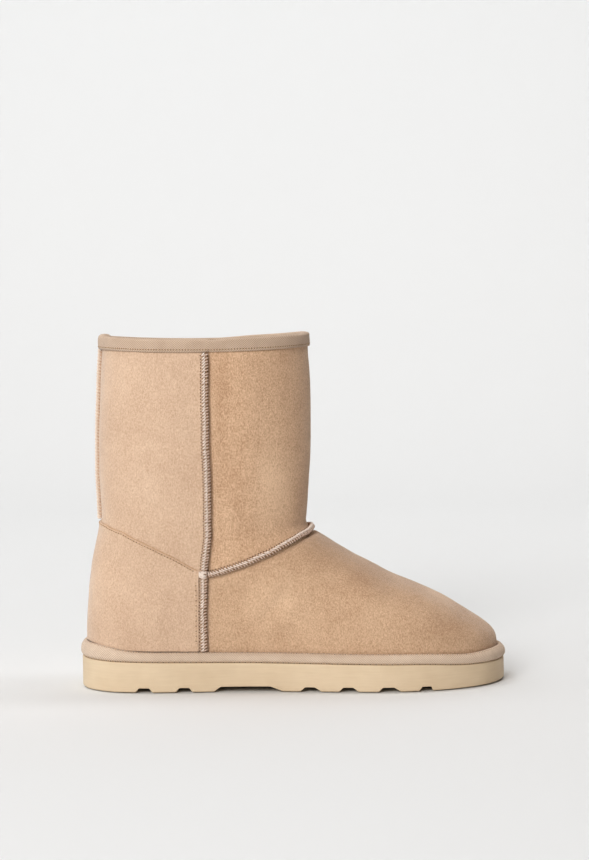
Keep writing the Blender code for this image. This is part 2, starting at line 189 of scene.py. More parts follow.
# Seam lines on the skin. along: share of shaft_depth from the back of the ankle.
SIDE_SEAM = [
    # up, along
    (0.080, 0.505),
    (0.400, 0.508),
    (0.680, 0.513),
    (0.940, 0.534),
    (1.200, 0.537),
    (1.500, 0.534),
    (1.940, 0.535),
]
INSTEP_SEAM = [
    # up, along
    (0.668, 0.533),
    (0.743, 0.690),
    (0.833, 0.830),
    (0.900, 0.925),
]
INSTEP_TIP_UP = 0.967
HEEL_SEAM = [
    # up, along
    (1.030, 0.012),
    (1.022, 0.047),
    (0.986, 0.130),
    (0.887, 0.254),
    (0.795, 0.375),
    (0.700, 0.478),
]
HEEL_SEAM_BACK_UP = 1.035

# Outside of the base binding. high: share of its height. tuck: in from its widest line.
RAND = [
    # high, tuck
    (0.00, 0.0016),
    (0.16, 0.0003),
    (0.45, 0.0000),
    (0.74, 0.0007),
    (0.96, 0.0022),
]

# Grooves across the tread. start, end: shares of outsole_length from the middle, at the ground.
# slope_back, slope_front: run of each wall as a share of the groove's depth. deep: 1 for the arch.
NOTCHES = [
    # start, end, slope_back, slope_front, deep
    (-0.3660, -0.3275, 0.75, 0.60, 0),
    (-0.2730, -0.2350, 0.80, 0.60, 0),
    (-0.1840, -0.0255, 1.15, 2.30, 1),
    (0.0150, 0.0630, 1.00, 1.45, 0),
    (0.1040, 0.1480, 0.85, 1.15, 0),
    (0.1945, 0.2455, 0.85, 1.50, 0),
    (0.2880, 0.3175, 0.60, 0.05, 0),
]

# Soft troughs and ridges in the suede. side: outer, inner or both. Ends: shares of outsole_length
# from the heel and of boot_height from the ground. half_width and rise: metres, rise under 0 sinks.
CREASES = [
    # side, from along, from high, to along, to high, half_width, rise
    ("outer", 0.400, 0.215, 0.479, 0.326, 0.0055, 0.0011),
    ("outer", 0.436, 0.152, 0.522, 0.262, 0.0060, 0.0008),
    ("outer", 0.425, 0.190, 0.500, 0.295, 0.0035, -0.0006),
    ("outer", 0.212, 0.790, 0.278, 0.666, 0.0065, 0.0010),
    ("outer", 0.160, 0.700, 0.215, 0.560, 0.0080, -0.0006),
    ("outer", 0.330, 0.650, 0.345, 0.565, 0.0060, -0.0008),
    ("outer", 0.396, 0.920, 0.410, 0.565, 0.0090, 0.0008),
    ("outer", 0.187, 0.240, 0.205, 0.235, 0.0100, 0.0008),
    ("outer", 0.389, 0.143, 0.486, 0.143, 0.0050, -0.0006),
    ("outer", 0.560, 0.330, 0.640, 0.255, 0.0080, -0.0006),
    ("both", 0.752, 0.330, 0.712, 0.215, 0.0095, -0.0007),
    ("both", 0.690, 0.345, 0.655, 0.235, 0.0090, 0.0004),
    ("inner", 0.430, 0.330, 0.520, 0.240, 0.0065, -0.0010),
    ("inner", 0.470, 0.350, 0.560, 0.265, 0.0060, 0.0008),
    ("inner", 0.250, 0.800, 0.300, 0.640, 0.0080, -0.0010),
    ("inner", 0.170, 0.620, 0.240, 0.540, 0.0075, 0.0008),
    ("inner", 0.400, 0.860, 0.430, 0.600, 0.0090, 0.0008),
    ("inner", 0.200, 0.300, 0.280, 0.200, 0.0080, 0.0006),
]

# Patches of painted light and shade in the suede's colour, paler or darker where the light on the boot falls
# brighter or dimmer. Metres.
PAINTED_LIGHT_PATCHES = [
    # x, z, half_width, half_height, paler
    (-0.042, 0.180, 0.008, 0.060, -0.06),
    (-0.012, 0.130, 0.022, 0.048, 0.10),
    (-0.016, 0.056, 0.030, 0.020, 0.05),
    (0.019, 0.085, 0.024, 0.016, -0.05),
    (0.044, 0.068, 0.028, 0.015, -0.06),
    (0.075, 0.073, 0.022, 0.009, 0.07),
    (0.098, 0.057, 0.020, 0.010, 0.12),
    (0.092, 0.037, 0.032, 0.014, -0.06),
]


def curve_through(keys, values, at):
    """Smooth curve through table values, with each slope set by the neighbours on both sides."""
    keys, values, at = (np.asarray(a, float) for a in (keys, values, at))
    slopes = np.gradient(values, keys)
    cell = np.clip(np.searchsorted(keys, at, side="right") - 1, 0, len(keys) - 2)
    span = keys[cell + 1] - keys[cell]
    t = np.clip((at - keys[cell]) / span, 0, 1)
    start, end = values[cell], values[cell + 1]
    ahead, behind = t * t * (3 - 2 * t), t * (1 - t) ** 2
    bow = slopes[cell] * behind - slopes[cell + 1] * t * t * (1 - t)
    return start + (end - start) * ahead + span * bow


def smooth(share):
    """Soft step from 0 to 1."""
    share = np.clip(share, 0, 1)
    return share * share * (3 - 2 * share)


def unit(vectors):
    return vectors / np.linalg.norm(vectors, axis=-1)[..., None]


def run_of(points):
    """Length along a line of points, from its first."""
    return np.concatenate([[0], np.cumsum(np.linalg.norm(np.diff(points, axis=0), axis=1))])


def along_line(values, run, stops):
    """Values, given at each step of a line, at stops along its run."""
    return np.stack([np.interp(stops, run, column) for column in values.T], -1)


def noise_at(points, scale=1):
    """Smooth noise at each point, its swells about one metre over scale wide."""
    values = [noise.noise(Vector(point) * scale) for point in points.reshape(-1, 3)]
    return np.array(values).reshape(points.shape[:-1])


def closed_curve(points, steps=24):
    """Rounded closed curve through the points, as steps points for each span."""
    points = np.asarray(points, float)
    before, after = np.roll(points, 1, 0), np.roll(points, -1, 0)
    reach_back = np.linalg.norm(points - before, axis=1)[:, None]
    reach_on = np.linalg.norm(after - points, axis=1)[:, None]
    steer = (points - before) / reach_back * reach_on + (after - points) / reach_on * reach_back
    steer /= reach_back + reach_on
    rows = []
    for i, point in enumerate(points):
        j = (i + 1) % len(points)
        t = np.linspace(0, 1, steps, endpoint=False)[:, None]
        bow = reach_on[i] * (steer[i] * t * (1 - t) ** 2 - steer[j] * t * t * (1 - t))
        rows.append(point + (points[j] - point) * t * t * (3 - 2 * t) + bow)
    return np.concatenate(rows)


def even(points, count):
    """count points, evenly along each side, from the toe's tip past the outer side to the heel."""
    points = np.roll(points, -int(np.argmax(points[:, 0])), 0)
    if points[len(points) // 4, 1] > points[-(len(points) // 4), 1]:
        points = np.roll(points[::-1], 1, 0)
    heel = int(np.argmin(points[:, 0]))
    looped = np.vstack([points, points[:1]])
    sides = []
    for side in (looped[: heel + 1], looped[heel:]):
        run = run_of(side)
        stops = np.linspace(0, run[-1], count // 2, endpoint=False)
        sides.append(along_line(side, run, stops))
    return np.concatenate(sides)


def outward(points):
    """Unit outward direction at each point of a closed plan curve that starts down the outer side."""
    along = unit(np.roll(points, -1, 0) - np.roll(points, 1, 0))
    return np.stack([-along[:, 1], along[:, 0]], 1)


def sole_curve():
    """Fine plan outline of the outsole, centred on the origin, and the Y of the heel's axis."""
    along, outer, inner = np.array(OUTLINE).T
    x = (along - 0.5) * outsole_length
    width = heel_width + (ball_width - heel_width) * smooth((along - 0.25) / 0.5)
    axis = toe_swing * np.clip((along - 0.55) / 0.45, 0, 1) ** 2
    outer_side = np.stack([x, axis - outer * width], 1)
    inner_side = np.stack([x, axis + inner * width], 1)
    curve = closed_curve(np.concatenate([outer_side[::-1], inner_side[1:-1]]))
    heel_axis = -(curve[:, 1].max() + curve[:, 1].min()) / 2
    curve[:, 1] += heel_axis
    curve[:, 0] *= outsole_length / np.ptp(curve[:, 0])
    curve[:, 0] -= (curve[:, 0].max() + curve[:, 0].min()) / 2
    return curve, heel_axis


SOLE_CURVE, HEEL_AXIS = sole_curve()
FINE_SOLE = even(SOLE_CURVE, 1440)
FINE_SOLE_OUT = outward(FINE_SOLE)


def plan(inset, count=around_count):
    """Outsole outline moved in by inset, evenly cut."""
    return even(FINE_SOLE - FINE_SOLE_OUT * inset, count)


def oval(count):
    """Plan outline of the leg, one unit long and wide, fuller than an ellipse."""
    turn = np.linspace(0, 2 * math.pi, 1440, endpoint=False)
    across, along = np.sin(turn), np.cos(turn)
    power = 2 / leg_squareness
    x = np.sign(along) * np.abs(along) ** power
    y = -np.sign(across) * np.abs(across) ** power
    return even(np.stack([x, y], 1) / 2 + [0.5, 0], count)


def sole_top(x):
    share = x / outsole_length + 0.5
    taper = (toe_thickness - heel_thickness) * share
    return heel_thickness + taper - toe_thinning * smooth((share - 0.78) / 0.14)


rim_height = boot_height - tape_thickness - gap
FOOT_PLAN = plan(rand_inset)
LEG_OVAL = oval(around_count)
heel_x, toe_x = FOOT_PLAN[:, 0].min(), FOOT_PLAN[:, 0].max()
foot_width = np.ptp(FOOT_PLAN[:, 1])
foot_middle = (FOOT_PLAN[:, 1].max() + FOOT_PLAN[:, 1].min()) / 2
ankle_x = heel_x + leg_set_in
leg_front = ankle_x + shaft_depth
# The collar tape's lower edge, and a seam's gap to its neighbours on the leg, as ups of SECTIONS
tape_foot_up = 2 - (tape_drop - tape_thickness - gap) / (rim_height - instep_height)
clear_up = curved_gap / (rim_height - instep_height)


def skin_ring(up):
    """One closed section of the upper's outer face, from the front past the outer side."""
    table = np.array(SECTIONS).T
    reach, set_in, spread, leg = (curve_through(table[0], column, up) for column in table[1:])
    back = heel_x + set_in * leg_set_in
    front = leg_front + reach * (toe_x - leg_front)
    foot_along = (FOOT_PLAN[:, 0] - heel_x) / (toe_x - heel_x)
    foot_across = (FOOT_PLAN[:, 1] - foot_middle) / foot_width
    along = (1 - leg) * foot_along + leg * LEG_OVAL[:, 0]
    across = (1 - leg) * foot_across + leg * LEG_OVAL[:, 1]
    width = spread * ((1 - leg) * foot_width + leg * shaft_width)
    x = back + along * (front - back)
    y = across * width + (1 - leg) * foot_middle + leg * HEEL_AXIS
    seat = sole_top(x) + gap
    lower = seat + min(up, 1) * (instep_height - seat)
    dip = collar_dip * (2 * across) ** 2
    z = lower + max(up - 1, 0) * (rim_height - dip - instep_height)
    return np.stack([x, y, z], 1)


def faces_out(grid):
    """Outward unit directions of a grid of rings."""
    around = np.roll(grid, -1, 1) - np.roll(grid, 1, 1)
    rising = np.gradient(grid, axis=0)
    return unit(np.cross(rising, around))


ROW_UPS = np.concatenate([np.linspace(0, 1, foot_rows + 1), 1 + np.linspace(0, 1, leg_rows + 1)[1:]])
PLAIN_SKIN = np.array([skin_ring(up) for up in ROW_UPS])
PLAIN_OUT = faces_out(PLAIN_SKIN)
RING_SHARES = np.arange(around_count + 1) / around_count


def row_of(up):
    """Row of the skin's grid below a height, and the share of the way on to the next row."""
    up = np.clip(up, 0, 2)
    row = np.where(up < 1, up * foot_rows, foot_rows + (up - 1) * leg_rows)
    low = np.minimum(row.astype(int), foot_rows + leg_rows - 1)
    return low, row - low


def laid_on(grid, out, around, up, proud=0.0):
    """Points at shares around the boot (0 front, 0.5 back) and heights, and the way out of the skin."""
    around, up = np.broadcast_arrays(np.asarray(around, float), np.asarray(up, float))
    low, v = row_of(up)
    v = v[..., None]
    column = (around % 1) * around_count
    left = column.astype(int) % around_count
    right = (left + 1) % around_count
    u = (column - np.floor(column))[..., None]

    def mixed(values):
        lower = values[low, left] * (1 - u) + values[low, right] * u
        upper = values[low + 1, left] * (1 - u) + values[low + 1, right] * u
        return lower * (1 - v) + upper * v

    way = unit(mixed(out))
    return mixed(grid) + way * np.asarray(proud)[..., None], way


def around_at(along, up, side):
    """Share around the boot of a point at a depth along the leg, on the outer or inner side."""
    x = ankle_x + along * shaft_depth
    low, v = row_of(up)
    ring = PLAIN_SKIN[low, :, 0] * (1 - v) + PLAIN_SKIN[low + 1, :, 0] * v
    half = around_count // 2
    if side == "outer":
        return float(np.interp(-x, -ring[: half + 1], RING_SHARES[: half + 1]))
    return float(np.interp(x, np.append(ring[half:], ring[0]), RING_SHARES[half:]))


def side_seam_line():
    """Heights and depths of a side seam, from the base binding to the collar tape."""
    ups, alongs = np.array(SIDE_SEAM).T
    seat = sole_top(ankle_x + alongs[0] * shaft_depth) + gap
    ups[0] = (binding_height + 2 * curved_gap) / (instep_height - seat)
    ups[-1] = tape_foot_up - clear_up
    return ups, alongs


def side_seam_path(side, count=300):
    ups, alongs = side_seam_line()
    steps = np.linspace(ups[0], ups[-1], count)
    depths = curve_through(ups, alongs, steps)
    return np.array([around_at(along, up, side) for up, along in zip(steps, depths)]), steps


def instep_seam_path(count=300):
    ups, alongs = np.array(INSTEP_SEAM).T
    slant = 0.22 * instep_seam_width
    start = side_seam_width / 2 + curved_gap + slant
    alongs[0] = curve_through(*side_seam_line(), ups[0]) + start / shaft_depth
    steps = np.linspace(ups[0], ups[-1], 25)
    depths = curve_through(ups, alongs, steps)
    outer = [around_at(along, up, "outer") for up, along in zip(steps, depths)]
    inner = [around_at(along, up, "inner") - 1 for up, along in zip(steps, depths)]
    arounds = np.array(outer + [0.0] + inner[::-1])
    rises = np.array([*steps, INSTEP_TIP_UP, *steps[::-1]])
    girth = 0.40  # round the ankle
    marks = run_of(np.stack([arounds * girth, rises * instep_height], 1))
    spots = np.linspace(0, marks[-1], count)
    return curve_through(marks, arounds, spots), curve_through(marks, rises, spots)


def back_seam_path(count=160):
    ups = np.linspace(HEEL_SEAM_BACK_UP + 2 * clear_up, tape_foot_up - clear_up, count)
    return np.full(count, 0.5), ups


def panel_edges(up):
    """Shares around the boot where the heel panel meets the outer and the inner side seam."""
    reach = side_seam_width / 2 + curved_gap
    along = float(curve_through(*side_seam_line(), up)) - reach / shaft_depth
    return around_at(along, up, "outer"), around_at(along, up, "inner")


def panel_top():
    """The heel seams as one line: shares across the heel panel, and the height at each."""
    line = [(0.5, HEEL_SEAM_BACK_UP)]
    for up, along in HEEL_SEAM:
        first, last = panel_edges(up)
        for side in ("outer", "inner"):
            line.append(((around_at(along, up, side) - first) / (last - first), up))
    return np.array(sorted(line)).T


def drawn_by(path, rise, reach, shaded_side):
    """Lift of the suede beside a seam. A raised seam that is folded over also presses a valley into
    the suede on its shaded side, which is at +1 or -1 times the way across it."""
    line, way = laid_on(PLAIN_SKIN, PLAIN_OUT, *path)
    across = unit(np.cross(np.gradient(line, axis=0), way))
    valley_off, valley_reach, valley_depth = 0.0029, 0.0013, 0.0017
    lift = np.zeros(PLAIN_SKIN.shape[:2])
    for i, row in enumerate(PLAIN_SKIN):
        apart = row[:, None] - line[None]
        distance = np.linalg.norm(apart, axis=2)
        nearest = distance.argmin(1)
        off = distance.min(1)
        lift[i] = rise * np.exp(-((off / reach) ** 2))
        if shaded_side:
            side = (apart[np.arange(len(row)), nearest] * across[nearest]).sum(1) * shaded_side
            beyond = np.sqrt(np.maximum(off**2 - side**2, 0))
            valley = np.exp(-(((side - valley_off) / valley_reach) ** 2) - (beyond / 0.002) ** 2)
            lift[i] -= valley_depth * valley
    return lift


def creased_skin():
    """The skin with its creases, the pull of the seams and the unevenness of hand-lasted suede."""
    x, y, z = np.moveaxis(PLAIN_SKIN, 2, 0)
    lift = np.zeros(x.shape)
    for side, from_along, from_high, to_along, to_high, half_width, rise in CREASES:
        start = np.array([(from_along - 0.5) * outsole_length, from_high * boot_height])
        end = np.array([(to_along - 0.5) * outsole_length, to_high * boot_height])
        run = end - start
        t = np.clip(((x - start[0]) * run[0] + (z - start[1]) * run[1]) / (run @ run), 0, 1)
        off = np.hypot(x - start[0] - t * run[0], z - start[1] - t * run[1])
        soft = rise * np.exp(-((off / half_width) ** 2)) * (0.55 + 0.45 * np.sin(math.pi * t))
        if side != "both":
            facing = -y if side == "outer" else y
            soft *= smooth(facing / 0.02 + 0.3)
        lift += soft
    toe_swell = smooth((x - 0.070) / 0.045) * np.exp(-(((ROW_UPS - 0.17) / 0.075) ** 2))[:, None]
    lift += 0.0014 * toe_swell
    for path, rise, reach, shaded_side in (
        (side_seam_path("outer", 220), 0.0004, 0.0028, 1),
        (side_seam_path("inner", 220), 0.0004, 0.0028, -1),
        (instep_seam_path(220), 0.0004, 0.0028, 1),
        (back_seam_path(100), -0.0013, 0.016, 0),
    ):
        lift += drawn_by(path, rise, reach, shaded_side)
    lift += 0.00050 * noise_at(PLAIN_SKIN, 32) + 0.00016 * noise_at(PLAIN_SKIN, 110)
    held = smooth(ROW_UPS / 0.08) * smooth((2 - ROW_UPS) / 0.08)
    return PLAIN_SKIN + PLAIN_OUT * (lift * held[:, None])[:, :, None]


SKIN = creased_skin()
OUT = faces_out(SKIN)
# Rows for the hidden faces inside the wall, closer together where the instep turns up
BACKING_ROWS = np.array(
    [i for i, up in enumerate(ROW_UPS) if i % (3 if 0.6 < up < 1.2 else 9) == 0 or up == 2][::-1]
)


def on_skin(around, up, proud=0.0):
    return laid_on(SKIN, OUT, around, up, proud)


# Meshes


def linear(hex_colour):
    """sRGB hex to the linear colour that a shader takes."""
    parts = [int(hex_colour[i : i + 2], 16) / 255 for i in (1, 3, 5)]
    return [p / 12.92 if p < 0.04045 else ((p + 0.055) / 1.055) ** 2.4 for p in parts] + [1]


def as_piece(name, points, faces, finish, uv=None):
    """Mesh object from points and faces, facing out. uv holds one pair for each corner of each face."""
    points = np.asarray(points, float).reshape(-1, 3)
    data = bpy.data.meshes.new(name)
    data.from_pydata(points.tolist(), [], faces)
    if uv is not None:
        layer = data.uv_layers.new(name="cloth")
        layer.data.foreach_set("uv", np.asarray(uv, np.float32).ravel())
    data.calc_loop_triangles()
    corners = np.empty(len(data.loop_triangles) * 3, np.int32)
    data.loop_triangles.foreach_get("vertices", corners)
    solid = points[corners.reshape(-1, 3)]
    if np.linalg.det(solid - points.mean(0)).sum() < 0:
        data.flip_normals()
    data.shade_smooth()
    data.materials.append(finish)
    piece = bpy.data.objects.new(name, data)
    bpy.context.scene.collection.objects.link(piece)
    return piece


def place(piece, slot, *stands_for):
    """Fixes a piece to the boot and hides the CAD nodes that it stands for."""
    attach(piece, "root")
    if stands_for:
        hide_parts(*stands_for)


def loft(name, rows, finish, slot, node, around=True, section=True, uv=None):
    """Closed piece from rows of points. around closes each row, section closes the last row to the first.
    Where section is open, strips close both ends, and where around is open, flat caps do. uv, if given,
    has one more row and column than a closed grid, so that a pattern runs on across the join."""
    rows = np.asarray(rows, float)
    height, width = rows.shape[:2]
    index = np.arange(height * width).reshape(height, width)
    i = np.arange(height if section else height - 1)[:, None]
    j = np.arange(width if around else width - 1)[None]
    k, m = (i + 1) % height, (j + 1) % width
    faces = np.stack(np.broadcast_arrays(index[i, j], index[i, m], index[k, m], index[k, j]), 2)
    faces = faces.reshape(-1, 4).tolist()
    corners = None
    if uv is not None:
        corners = np.stack([uv[i, j], uv[i, j + 1], uv[i + 1, j + 1], uv[i + 1, j]], 2).reshape(-1, 2)
    if around and not section:
        for end in (0, height - 1):
            for j in range(width // 2):
                strip = [j, j + 1, (width - j - 1) % width, (width - j) % width]
                kept = [p for n, p in enumerate(strip) if p not in strip[:n]]
                faces.append([int(index[end, p]) for p in kept][:: 1 if end else -1])
    if section and not around:
        faces += [index[::-1, 0].tolist(), index[:, -1].tolist()]
    place(as_piece(name, rows, faces, finish, corners), slot, node)


def strands(name, paths, outs, radius, finish, taper=0.0, slot="seam_thread"):
    """Joined tubes of thread. paths: strand, step, XYZ. outs: the way off the boot at each step.
    taper: how much thinner than its middle a tube is near its ends."""
    paths, outs = np.asarray(paths, float), np.asarray(outs, float)
    count, steps = paths.shape[:2]
    sides = 6
    forward = unit(np.gradient(paths, axis=1))
    across = unit(np.cross(forward, outs))
    lifted = np.cross(across, forward)
    turn = np.linspace(0, 2 * math.pi, sides, endpoint=False)
    thick = radius * (1 - taper * np.linspace(-1, 1, steps) ** 2)
    thick[0] = thick[-1] = thick[1] * 0.6
    ring = across[:, :, None] * np.cos(turn)[:, None] + lifted[:, :, None] * np.sin(turn)[:, None]
    points = paths[:, :, None] + ring * thick[None, :, None, None]
    index = np.arange(count * steps * sides).reshape(count, steps, sides)
    after = np.roll(index, -1, 2)
    quads = np.stack([index[:, :-1], after[:, :-1], after[:, 1:], index[:, 1:]], 3).reshape(-1, 4)
    ends = [row[::-1].tolist() for row in index[:, 0]] + [row.tolist() for row in index[:, -1]]
    place(as_piece(name, points, quads.tolist() + ends, finish), slot)


def pricks(name, centres, outs, radius):
    """Joined small round pits, drawn as flat lenses in the surface whose dark colour is painted shade."""
    sides = 7
    centres, outs = np.asarray(centres, float), unit(np.asarray(outs, float))
    steady = np.where(np.abs(outs[:, 2:]) < 0.9, [[0.0, 0.0, 1.0]], [[1.0, 0.0, 0.0]])
    across = unit(np.cross(outs, steady))
    lifted = np.cross(outs, across)
    turn = np.linspace(0, 2 * math.pi, sides, endpoint=False)
    rim = across[:, None] * np.cos(turn)[:, None] + lifted[:, None] * np.sin(turn)[:, None]
    rim = centres[:, None] + rim * radius
    front = centres[:, None] + outs[:, None] * radius * 0.25
    back = centres[:, None] - outs[:, None] * radius * 0.6
    first = (np.arange(len(centres)) * (sides + 2))[:, None]
    j = np.arange(sides)[None]
    k = (j + 1) % sides
    faces = []
    for corners in ((first + j, first + k, first + sides), (first + k, first + j, first + sides + 1)):
        faces += np.stack(np.broadcast_arrays(*corners), 2).reshape(-1, 3).tolist()
    place(as_piece(name, np.concatenate([rim, front, back], 1), faces, PRICKS), None)


# Materials


def add(tree, kind, inputs=None, stops=(), **settings):
    """Adds a shader node. inputs: values, or sockets or nodes to link from. stops: a colour ramp's places
    and colours, its two ends first. settings: the node's own properties."""
    made = tree.nodes.new("ShaderNode" + kind)
    for name, value in settings.items():
        setattr(made, name, value)
    for name, value in (inputs or {}).items():
        if isinstance(value, bpy.types.Node):
            value = value.outputs[0]
        if isinstance(value, bpy.types.NodeSocket):
            tree.links.new(value, made.inputs[name])
        else:
            made.inputs[name].default_value = value
    for i, (position, shade) in enumerate(stops):
        elements = made.color_ramp.elements
        element = elements[i] if i < 2 else elements.new(position)
        element.position = position
        element.color = linear(shade)
    return made


def new_finish(name, **shader_values):
    """An empty material with its shader, whose plain values are set on the shader's own sockets."""
    made = bpy.data.materials.new(name)
    made.use_nodes = True
    shader = made.node_tree.nodes["Principled BSDF"]
    for socket, value in shader_values.items():
        shader.inputs[socket.replace("_", " ")].default_value = value
    return made, made.node_tree, shader


def dress(tree, shader, colour, relief):
    """Links a colour to the shader, and a relief if there is one."""
    tree.links.new(colour.outputs["Color"], shader.inputs["Base Color"])
    if relief:
        tree.links.new(relief.outputs["Normal"], shader.inputs["Normal"])


def grained(name, grain, stops, relief=None, **shader_values):
    """A finish whose colour and relief follow one grain. grain: the settings of its noise.
    relief: how strong and how deep it is."""
    made, tree, shader = new_finish(name, **shader_values)
    fibres = add(tree, "TexNoise", {"Vector": add(tree, "TexCoord").outputs["Object"], **grain})
    colour = add(tree, "ValToRGB", {"Fac": fibres}, stops)
    if relief:
        relief = add(tree, "Bump", {"Strength": relief[0], "Distance": relief[1], "Height": fibres})
    dress(tree, shader, colour, relief)
    return made


def napped_suede():
    """Brushed microfibre suede: a matt, short nap whose lie changes in soft blotches, with a faint sheen
    at its edges."""
    made, tree, shader = new_finish(
        "brushed microfibre suede",
        Roughness=0.95,
        IOR=1.45,
        Specular_IOR_Level=0.12,
        Sheen_Weight=0.35,
        Sheen_Roughness=0.40,
        Sheen_Tint=linear("#FFFFFF"),
    )
    where = add(tree, "TexCoord").outputs["Object"]
    brushed = add(tree, "Mapping", {"Vector": where, "Scale": (1, 1, 0.6)})
    blotch, mottle, nap = [
        add(tree, "TexNoise", {"Vector": at, "Scale": 1 / size, "Detail": detail, "Roughness": rough})
        for at, size, detail, rough in (
            (where, 0.030, 3, 0.55),
            (where, 0.0070, 4, 0.6),
            (brushed, 0.00075, 3, 0.7),  # a nap is finer, drawn coarser so that it shows
        )
    ]
    patches = add(tree, "Mix", {"Factor": 0.35, "A": blotch, "B": mottle}, data_type="FLOAT")
    nap_lie_and_painted_light = add(tree, "Mix", {"Factor": 0.72, "A": patches, "B": nap}, data_type="FLOAT")
    # Painted light and shade: each patch makes the suede's tone paler or darker, fading out to its edges
    for x, z, half_width, half_height, paler in PAINTED_LIGHT_PATCHES:
        spot = add(
            tree,
            "Mapping",
            {"Vector": where, "Location": (x, 0, z), "Scale": (half_width, 1000, half_height)},
            vector_type="TEXTURE",
        )
        off = add(tree, "VectorMath", {0: spot}, operation="LENGTH").outputs["Value"]
        fading = add(
            tree,
            "MapRange",
            {"Value": off, "To Min": paler, "To Max": 0.0},
            interpolation_type="SMOOTHSTEP",
        )
        nap_lie_and_painted_light = add(tree, "Math", {0: nap_lie_and_painted_light, 1: fading})
    vamp, leg_front_panel, back_panels = [
        add(tree, "ValToRGB", {"Fac": nap_lie_and_painted_light}, ((0.36, deep), (0.64, pale)))
        for deep, pale in (
            ("#B49275", "#DFC1A3"),
            ("#B59072", "#E7C8A9"),
            ("#C3A48B", "#E2C8AF"),
        )
    ]
    # The panels differ in tone, partly their own and partly painted light and shade: the leg's front is paler
    # than the vamp, above the instep seam, and the back panels are palest, up to the side seams
    ankle_seam_along, front_x = 0.534, 0.04
    seam_x = ankle_x + ankle_seam_along * shaft_depth
    foot_z, tip_z = (
        sole_top(x) + up * (instep_height - sole_top(x))
        for x, up in ((0.0, INSTEP_SEAM[0][0]), (front_x, INSTEP_TIP_UP))
    )
    slope = (tip_z - foot_z) / (leg_front - seam_x)
    level = foot_z - slope * seam_x
    above = add(tree, "VectorMath", {0: where, 1: (-slope, 0, 1)}, operation="DOT_PRODUCT").outputs["Value"]
    across = add(tree, "SeparateXYZ", {"Vector": where})
    above_seam, before_seam = [
        add(tree, "MapRange", {"Value": value, "From Min": start, "From Max": end})
        for value, start, end in (
            (above, level - 0.004, level + 0.002),
            (across, seam_x - 0.001, seam_x + 0.001),
        )
    ]
    front = add(tree, "MixRGB", {"Fac": above_seam, "Color1": vamp, "Color2": leg_front_panel})
    colour = add(tree, "MixRGB", {"Fac": before_seam, "Color1": back_panels, "Color2": front})
    fine = add(tree, "Bump", {"Strength": 0.8, "Distance": 0.0006, "Height": nap})
    relief = add(tree, "Bump", {"Strength": 0.25, "Distance": 0.0012, "Height": mottle, "Normal": fine})
    dress(tree, shader, colour, relief)
    return made


def twill_tape(name, deep, pale):
    """Woven polyester twill: matt, with slanting ribs that catch the light on one side."""
    made, tree, shader = new_finish(
        name,
        Roughness=0.85,
        IOR=1.5,
        Specular_IOR_Level=0.25,
        Sheen_Weight=0.15,
        Sheen_Roughness=0.5,
    )
    rib_spacing = 0.0010  # real twill has ribs of about 0.5 mm, drawn coarser so that they show
    yarn_spacing = 0.0007
    fade_size = 0.009
    cloth = add(tree, "UVMap", uv_map="cloth")
    where = add(tree, "TexCoord").outputs["Object"]
    slant = add(tree, "Mapping", {"Vector": cloth, "Rotation": (0, 0, math.radians(-48))})
    waves = []  # a wave texture's bands are pi / 10 apart at a scale of 1
    for at, spacing, more in (
        (slant, rib_spacing, {"Distortion": 0.6, "Detail": 1.0, "Detail Scale": 2.0}),
        (cloth, yarn_spacing, {"Distortion": 0.4}),
    ):
        settings = {"Vector": at, "Scale": math.pi / 10 / spacing, **more}
        waves.append(add(tree, "TexWave", settings, bands_direction="X").outputs["Fac"])
    ribs, yarns = waves
    fade = add(tree, "TexNoise", {"Vector": where, "Scale": 1 / fade_size, "Detail": 3, "Roughness": 0.6})
    weave = add(tree, "Mix", {"Factor": 0.25, "A": ribs, "B": yarns}, data_type="FLOAT")
    shade = add(tree, "Mix", {"Factor": 0.35, "A": weave, "B": fade}, data_type="FLOAT")
    colour = add(tree, "ValToRGB", {"Fac": shade}, ((0.2, deep), (0.8, pale)))
    relief = add(tree, "Bump", {"Strength": 1.0, "Distance": 0.00035, "Height": weave})
    dress(tree, shader, colour, relief)
    return made


def moulded_foam():
    """Moulded EVA foam: smooth closed skin, half matt, with cloudy colour and fine flow lines along its
    side."""
    made, tree, shader = new_finish("moulded EVA foam", Roughness=0.62, IOR=1.5, Specular_IOR_Level=0.3)
    where = add(tree, "TexCoord").outputs["Object"]
    stretched = add(tree, "Mapping", {"Vector": where, "Scale": (1, 1, 14)})
    cloud, flow, pores = [
        add(tree, "TexNoise", {"Vector": at, "Scale": 1 / size, "Detail": detail, "Roughness": rough})
        for at, size, detail, rough in (
            (where, 0.02, 3, 0.5),
            (stretched, 0.016, 3, 0.6),
            (where, 0.0007, 2, 0.6),
        )
    ]
    tone = add(tree, "Mix", {"Factor": 0.4, "A": cloud, "B": flow}, data_type="FLOAT")
    colour = add(tree, "ValToRGB", {"Fac": tone}, ((0.3, "#D2BDA0"), (0.7, "#DECBAF")))
    fine = add(tree, "Bump", {"Strength": 0.25, "Distance": 0.0001, "Height": pores})
    relief = add(tree, "Bump", {"Strength": 0.25, "Distance": 0.0004, "Height": flow, "Normal": fine})
    dress(tree, shader, colour, relief)
    return made


def spun_thread(name, pale, deep):
    """Spun polyester thread: matt and slightly hairy, its twist seen as fine light and dark."""
    return grained(
        name,
        {"Scale": 1 / 0.0006, "Detail": 2, "Roughness": 0.6},
        ((0.3, deep), (0.6, pale)),
        (0.5, 0.0001),
        Roughness=0.8,
        IOR=1.5,
        Specular_IOR_Level=0.25,
        Sheen_Weight=0.2,
        Sheen_Roughness=0.5,
    )


